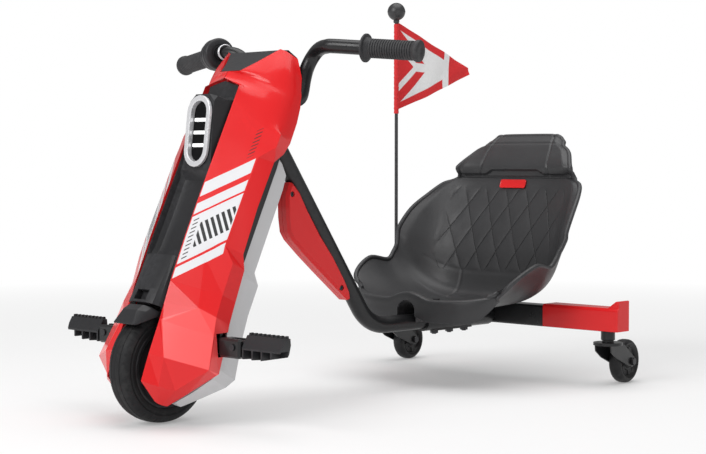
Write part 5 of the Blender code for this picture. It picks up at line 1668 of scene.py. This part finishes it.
@dataclass
class Controls(Assembly):
    """Handlebar, clamp, ribbed grips and the twist throttle."""

    bar_radius: float = 0.011
    grip_radius: float = 0.0145
    flange_radius: float = 0.0215
    start: Point = (0.177, -0.0195, 0.5294)
    end: Point = (0.265, -0.0465, 0.5340)
    longer: float = 0.0200
    end_cap: float = 0.004
    gap: float = 0.001
    drum_radius: float = 0.0235
    disc_radius: float = 0.0262
    collar_place: float = 0.0450
    ribs: int = 17

    def half_route(self) -> list[Vector]:
        """Left half of the bar's centreline from the middle to the grip's outer end.

        Returns:
            Places on the centreline.
        """
        places = [(0.0, 0.038, 0.444), (0.030, 0.038, 0.444), (0.050, 0.031, 0.441), (0.066, 0.012, 0.436),
                  (0.074, -0.008, 0.438), (0.0785, -0.0160, 0.4470), (0.0768, -0.0172, 0.4600),
                  (0.0732, -0.0170, 0.4760), (0.0712, -0.0165, 0.4930), (0.0732, -0.0155, 0.5070),
                  (0.0800, -0.0130, 0.5180), (0.0900, -0.0090, 0.5242), (0.1020, -0.0050, 0.5262),
                  (0.1140, -0.0028, 0.5262), (0.1250, -0.0036, 0.5267), self.start]
        route = [column(*place) for place in places]
        route.append(route[-1] + self.direction(Side.LEFT) * (self.grip_length() - self.end_cap))
        return route

    def grip_length(self) -> float:
        """Length of the left grip."""
        return (column(*self.end) - column(*self.start)).length

    def grip_start(self, side: Side) -> Vector:
        """Place on the bar where a grip of the left one's length starts."""
        start = column(*self.start)
        return Vector((side.value * start.x, start.y, start.z))

    def direction(self, side: Side) -> Vector:
        """Outward direction of a grip, unit length."""
        run = column(*self.end) - column(*self.start)
        return Vector((side.value * run.x, run.y, run.z)).normalized()

    @staticmethod
    def smoothed(route: Sequence[Vector], steps: int = 4) -> list[Vector]:
        """Curve through the given places.

        Args:
            route: the places.
            steps: places for each stretch.

        Returns:
            The finer route.
        """
        made = [curve_place(around(route, index), step / steps)
                for index in range(len(route) - 1) for step in range(steps)]
        return made + [route[-1]]

    def build(self) -> None:
        """Bar, clamp, grips, housing."""
        left = self.half_route()
        right = [Vector((-place.x, place.y, place.z)) for place in reversed(left)]
        bar = Modeller.tube("handlebar_finished", self.smoothed(right[:-1] + left), self.bar_radius, 28)
        Modeller.settle(bar, 40)
        self.dress(bar, Finishes.COAT, "steering", ["handlebar"])
        self.carry("bar_clamp", Finishes.COAT, 0.0010)
        self.grip(Side.LEFT)
        self.grip(Side.RIGHT)
        self.housing()

    def grip(self, side: Side) -> None:
        """Rubber grip with ribs, a flange and a rounded end.

        Args:
            side: left or right.
        """
        way = self.direction(side)
        start = self.grip_start(side)
        length = self.grip_length()
        flange = self.flange_radius
        if side is Side.RIGHT:
            start = start - way * self.longer
            length += self.longer
            flange = self.grip_radius + 0.003
        bore, radius = self.bar_radius + 0.0003, self.grip_radius
        profile = [(0.0, bore), (0.0, flange - 0.0008), (0.0008, flange), (0.0028, flange),
                   (0.0036, flange - 0.0008), (0.0044, radius + 0.0024), (0.0066, radius + 0.0010)]
        first, last = 0.0110, length - 0.0120
        for index in range(self.ribs):
            here = first + (last - first) * index / self.ribs
            step = (last - first) / self.ribs
            profile += offset(here, radius, ((0.0, -0.0011), (step * 0.18, 0.0001), (step * 0.68, 0.0001),
                                             (step * 0.86, -0.0011)))
        profile += offset(length, radius, ((-0.0120, -0.0010), (-0.0095, 0.0004), (-0.0066, 0.0019),
                                           (-0.0024, 0.0020), (-0.0008, 0.0010), (0.0, -0.0020)))
        profile += offset(length, 0.0, ((0.0, 0.0060), (-0.0008, 0.0045), (-0.0008, 0.0002), (-0.0030, 0.0002),
                                        (-0.0030, bore)))
        profile.append(profile[0])
        node = "grip_left" if side is Side.LEFT else "throttle_grip"
        self.lathe(f"grip_{side.word}_finished", profile, start, way, 56, 38, Finishes.GRIP, self.home(node), [node])

    def housing(self) -> None:
        """Throttle drum with a larger disc and two split lines, and a thin silver ring beside it."""
        way = -self.direction(Side.RIGHT)
        foot = self.grip_start(Side.RIGHT) + way * (self.longer + self.gap)
        bore, drum, disc = self.bar_radius + 0.0007, self.drum_radius, self.disc_radius
        profile = [(0.0, bore)]
        profile += offset(0.0, drum, ((0.0, -0.0022), (0.0007, -0.0008), (0.0022, 0.0), (0.0058, 0.0),
                                      (0.0062, -0.0007), (0.0068, -0.0007), (0.0072, 0.0), (0.0112, 0.0)))
        profile += offset(0.0, disc, ((0.0122, -0.0006), (0.0134, 0.0), (0.0192, 0.0), (0.0196, -0.0007),
                                      (0.0204, -0.0007), (0.0208, 0.0), (0.0268, 0.0), (0.0290, -0.0010),
                                      (0.0305, -0.0034)))
        profile += offset(0.0, bore, ((0.0305, 0.0040), (0.0297, 0.0030), (0.0297, 0.0), (0.0, 0.0)))
        self.lathe("throttle_housing_finished", profile, foot, way, 72, 36, Finishes.BLACK, "steering",
                   ["throttle_housing"])
        ring = offset(0.0, bore, ((0.0, -0.0003), (0.0, 0.0006), (0.0006, 0.0012), (0.0040, 0.0012), (0.0046, 0.0006),
                                  (0.0046, -0.0003), (0.0, -0.0003)))
        self.lathe("throttle_collar", ring, foot + way * self.collar_place, way, 48, 40, Finishes.SILVER,
                   "steering")


@dataclass
class FootPegs(Assembly):
    """Folding pegs with their brackets and pins."""

    def build(self) -> None:
        """Pegs, brackets and pins of both sides."""
        for side in Side:
            self.carry(f"peg_{side.word}", Finishes.BLACK, 0.0014, 24.0, 4)
            self.carry(f"peg_bracket_{side.word}", Finishes.COAT, 0.0005)
            self.carry(f"peg_pin_{side.word}", Finishes.DARK_BOLT, 0.0004)


@dataclass
class Casters(Assembly):
    """Swivel casters: fork, wheel with tread and rim, and bolt."""

    radius: float = 0.0375
    width: float = 0.024
    swing: float = math.radians(-6.0)

    def build(self) -> None:
        """One wheel, modelled and copied, with the forks and bolts of both sides."""
        axis = Vector((math.cos(self.swing), -math.sin(self.swing), 0.0))
        axles = {side: middle_of(f"caster_wheel_{side.word}") for side in Side}
        first = self.wheel(axles[Side.LEFT], axis)
        second = Modeller.twin(first, "caster_wheel_right_finished",
                               Matrix.Translation(axles[Side.RIGHT] - axles[Side.LEFT]))
        self.dress(first, Finishes.CASTER, "left_caster_roller", ["caster_wheel_left"])
        self.dress(second, Finishes.CASTER, "right_caster_roller", ["caster_wheel_right"])
        for side in Side:
            self.carry(f"caster_fork_{side.word}", Finishes.COAT, 0.0006)
            self.carry(f"caster_bolt_{side.word}", Finishes.DARK_BOLT, 0.0005)

    def wheel(self, centre: Vector, axis: Vector) -> Piece:
        """Tyre with a round crown on a spoked rim, with a bearing cap.

        Args:
            centre: middle of the wheel.
            axis: direction of its axle.

        Returns:
            The wheel.
        """
        half, top, bore = self.width / 2, self.radius, 0.0043
        side = offset(-half, 0.0, ((0.0006, bore), (0.0, 0.0062), (0.0, 0.0102), (0.0006, 0.0110), (0.0042, 0.0128),
                                   (0.0046, 0.0150), (0.0040, 0.0240), (0.0012, 0.0262), (0.0006, 0.0272),
                                   (0.0016, 0.0280), (0.0008, 0.0290), (0.0004, 0.0318), (0.0016, top - 0.0034),
                                   (0.0042, top - 0.0011), (0.0074, top - 0.0002)))
        profile = side + [(0.0, top)] + mirrored(side) + [side[0]]
        wheel = Modeller.turned("caster_wheel_left_finished", profile, centre, axis, 96)
        Modeller.edit(wheel, False)
        across = Vector((-axis.y, axis.x, 0.0))

        def pocket(face: object) -> bool:
            """True for faces of the rim's web between two spokes.

            Args:
                face: face of the wheel.

            Returns:
                Whether it is sunk.
            """
            part = face.calc_center_median() - centre
            out = part - axis * part.dot(axis)
            turn = math.degrees(math.atan2(out.z, out.dot(across))) % 72.0
            return 0.0150 < out.length < 0.0242 and abs(part.dot(axis)) < half - 0.0035 and 14.0 < turn < 58.0

        Modeller.take(wheel, "FACE", pocket)
        bpy.ops.mesh.inset(thickness=0.0008, depth=-0.0016)
        Modeller.done()
        return Modeller.settle(wheel, 36)


@dataclass
class Flag(Assembly):
    """Safety flag: rod, ball, red sleeve and pennant of soft cloth."""

    spot: Point = (-0.236, 0.3182, 0.0)
    top: float = 0.664
    rod_radius: float = 0.0032
    ball_radius: float = 0.0168
    length: float = 0.215
    height: float = 0.164
    cut_share: float = 0.54
    upper_fall: float = 0.47
    lower_rise: float = 0.45
    across_steps: int = 84
    up_steps: int = 56

    def build(self) -> None:
        """Rod, ball, sleeve, pennant."""
        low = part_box("flag_pole")[0].z
        radius = self.rod_radius
        profile = [(low, 0.0004), (low, radius), (self.top - 0.0145, radius), (self.top - 0.0135, radius - 0.001),
                   (self.top - 0.0135, 0.0004), (low, 0.0004)]
        self.lathe("flag_pole_finished", profile, Vector(self.spot), UPWARD, 32, 40, Finishes.ROD, "frame",
                   ["flag_pole"])
        self.ball()
        self.sleeve()
        self.pennant()

    def ball(self) -> None:
        """Hollow ball with a moulding line and a short neck."""
        radius, places = self.ball_radius, []
        for step in range(2, 33):
            turn = math.pi * step / 32 - math.pi / 2
            lift = 0.0004 if step == 16 else 0.0
            places.append((self.top + radius * math.sin(turn), max(0.0004, (radius + lift) * math.cos(turn))))
        neck = offset(self.top, 0.0, ((-0.0172, 0.0036), (-0.0210, 0.0038), (-0.0214, 0.0046), (-0.0206, 0.0054),
                                      (-0.0168, 0.0058)))
        bore = offset(self.top, 0.0, ((0.0100, 0.0004), (-0.0110, 0.0036)))
        profile = neck + places[1:] + bore + [neck[0]]
        self.lathe("flag_ball_finished", profile, Vector(self.spot), UPWARD, 48, 50, Finishes.BALL, "frame",
                   ["flag_ball"])

    def sleeve(self) -> None:
        """Hem of the flag that the rod runs in, with slight folds across it."""
        low, high = self.top - 0.192, self.top - self.ball_radius - 0.0066
        inner, outer = self.rod_radius + 0.0003, self.rod_radius + 0.0014
        profile = [(low, inner), (low, outer)]
        steps = 72
        for step in range(1, steps):
            height = low + (high - low) * step / steps
            profile.append((height, outer + 0.00045 * math.sin(step * 1.9) * math.sin(step * 0.37)))
        profile += [(high, outer), (high, inner), (low, inner)]
        self.lathe("flag_sleeve_finished", profile, Vector(self.spot), UPWARD, 32, 60, Finishes.SLEEVE, "frame",
                   ["flag_sleeve"])

    def cloth_place(self, run: float, level: float) -> Vector:
        """Place on the hanging cloth.

        Args:
            run: 0 at the sleeve to 1 at the tip.
            level: 0 on the lower edge to 1 on the upper edge.

        Returns:
            The place.
        """
        high = self.top - 0.020
        top_edge = high - self.height * self.upper_fall * run
        low_edge = high - self.height + self.height * self.lower_rise * run
        sway = 0.0048 * math.sin(1.6 * math.pi * run) * math.sqrt(run)
        fold = 0.0024 * math.sin(7.5 * run + 2.4 * level) * min(1.0, run * 3.0)
        fold += 0.0011 * math.sin(19.0 * run - 5.0 * level + 1.0) * min(1.0, run * 4.0)
        start = self.rod_radius + 0.0013
        droop = 0.0035 * run * math.sin(math.pi * run)
        base = Vector(self.spot)
        return Vector((base.x + sway + fold, base.y + start + self.length * 0.992 * run,
                       low_edge + (top_edge - low_edge) * level - droop))

    def pennant(self) -> None:
        """Triangular pennant as a thin wavy sheet with its own UV map."""
        Modeller.clear()
        bpy.ops.mesh.primitive_grid_add(x_subdivisions=self.across_steps, y_subdivisions=self.up_steps, size=2.0)
        cloth = bpy.context.object
        cloth.name = cloth.data.name = "flag_cloth_finished"
        while cloth.data.uv_layers:
            cloth.data.uv_layers.remove(cloth.data.uv_layers[0])
        layer = cloth.data.uv_layers.new(name="flag")
        flat: dict[int, Pair] = {}
        for vertex in cloth.data.vertices:
            run, level = (vertex.co.x + 1.0) / 2.0, (vertex.co.y + 1.0) / 2.0
            vertex.co = self.cloth_place(run, level)
            rise = self.lower_rise * run + (1.0 - (self.lower_rise + self.upper_fall) * run) * level
            flat[vertex.index] = (run, rise)
        for loop in cloth.data.loops:
            layer.data[loop.index].uv = flat[loop.vertex_index]
        cloth.data.update()
        Modeller.modify(cloth, "SOLIDIFY", thickness=0.0005, offset=0.0, use_even_offset=False)
        Modeller.settle(cloth, 60)
        self.dress(cloth, Finishes.CLOTH, "frame", ["flag_cloth"])


@dataclass
class Studio:
    """Camera at the photograph's viewpoint, pale floor, white background and soft light."""

    image_width: int = 706
    focal: float = 1631.3
    place: Point = (1.8468, -1.9761, 0.3809)
    pitch: float = math.radians(2.295)
    way: Point = (-0.6915, 0.7223, 0.0)
    floor_size: float = 60.0
    floor_gap: float = 0.0002
    floor_low: float = 0.89
    floor_high: float = 0.92
    glow_from: float = 0.9
    glow_to: float = 2.6
    glow_near: float = 0.26
    world_light: float = 0.34
    lamps: tuple[tuple[str, Point, Point, float, float], ...] = (
        ("key_light", (-0.2, -3.6, 2.4), (0, 0, 0.25), 2.0, 80.0),
        ("top_light", (0.2, 0.2, 3.4), (0, 0, 0.2), 3.4, 85.0),
        ("side_light", (3.6, -1.6, 1.4), (0, 0, 0.25), 1.2, 6.0))

    def camera(self) -> None:
        """Make the scene's camera."""
        data = bpy.data.cameras.new("camera")
        data.sensor_width = SENSOR_WIDTH
        data.lens = self.focal / self.image_width * SENSOR_WIDTH
        data.clip_end = self.floor_size
        camera = bpy.data.objects.new("camera", data)
        bpy.context.scene.collection.objects.link(camera)
        camera.location = self.place
        level = math.cos(self.pitch)
        way = Vector((self.way[0] * level, self.way[1] * level, -math.sin(self.pitch)))
        camera.rotation_euler = way.to_track_quat("-Z", "Y").to_euler()
        bpy.context.scene.camera = camera

    def floor(self) -> None:
        """Pale floor that runs to the horizon and keeps the shadow."""
        Modeller.clear()
        bpy.ops.mesh.primitive_plane_add(size=self.floor_size, location=(0, 0, -self.floor_gap))
        floor = bpy.context.object
        floor.name = "studio_floor"
        bench = Bench("studio_floor", (self.floor_low,) * 3, 0.60)
        tints = [shade(WHITE[:3], level) for level in (self.floor_low, self.floor_high)]
        bench.colour(bench.blend(bench.noise(0.6, 2.0), *tints))
        away = bench.node("ShaderNodeVectorMath", {0: bench.place}, operation="LENGTH")
        far = bench.span(away.outputs["Value"], self.glow_from, self.glow_to, self.glow_near, 1.0)
        glow = bench.node("ShaderNodeEmission", {"Color": WHITE, "Strength": 1.0})
        mix = bench.node("ShaderNodeMixShader", {0: far, 1: bench.shader.outputs["BSDF"],
                                                 2: glow.outputs["Emission"]})
        output = next(n for n in bench.tree.nodes if n.type == "OUTPUT_MATERIAL")
        bench.wire(mix.outputs["Shader"], output.inputs["Surface"])
        floor.data.materials.append(bench.material)

    def world(self) -> None:
        """White to the camera, softer white for lighting."""
        world = bpy.data.worlds.new("studio_world")
        bpy.context.scene.world = world
        world.use_nodes = True
        tree = world.node_tree
        tree.nodes.clear()
        path = tree.nodes.new("ShaderNodeLightPath")
        mix = tree.nodes.new("ShaderNodeMixShader")
        output = tree.nodes.new("ShaderNodeOutputWorld")
        tree.links.new(path.outputs["Is Camera Ray"], mix.inputs["Fac"])
        for place, strength in ((1, self.world_light), (2, 1.0)):
            white = tree.nodes.new("ShaderNodeBackground")
            white.inputs["Color"].default_value = WHITE
            white.inputs["Strength"].default_value = strength
            tree.links.new(white.outputs["Background"], mix.inputs[place])
        tree.links.new(mix.outputs["Shader"], output.inputs["Surface"])

    def light(self, name: str, place: Point, aim: Point, size: float, power: float) -> None:
        """Square area light.

        Args:
            name: name of the light.
            place: where it stands.
            aim: place that it faces.
            size: edge length in metres.
            power: power in watts.
        """
        data = bpy.data.lights.new(name, "AREA")
        data.shape = "SQUARE"
        data.size = size
        data.energy = power
        lamp = bpy.data.objects.new(name, data)
        bpy.context.scene.collection.objects.link(lamp)
        lamp.location = place
        lamp.rotation_euler = (Vector(aim) - Vector(place)).to_track_quat("-Z", "Y").to_euler()

    def build(self) -> None:
        """Camera, floor, world and lights."""
        self.camera()
        self.floor()
        self.world()
        for lamp in self.lamps:
            self.light(*lamp)
        bpy.context.scene.view_settings.view_transform = "Standard"


def main() -> None:
    """Build the kart piece by piece, then the studio."""
    logging.basicConfig(level=logging.INFO, format="%(message)s")
    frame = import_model()
    finishes = Finishes()
    assemblies: list[type[Assembly]] = [FrontWheel, Bodywork, Lamp, Controls, FootPegs, Chassis, Seat, Casters,
                                        Flag]
    for kind in assemblies:
        LOG.info("building %s", kind.__name__)
        kind(frame, finishes).build()
    Studio().build()


if __name__ == "__main__":
    main()
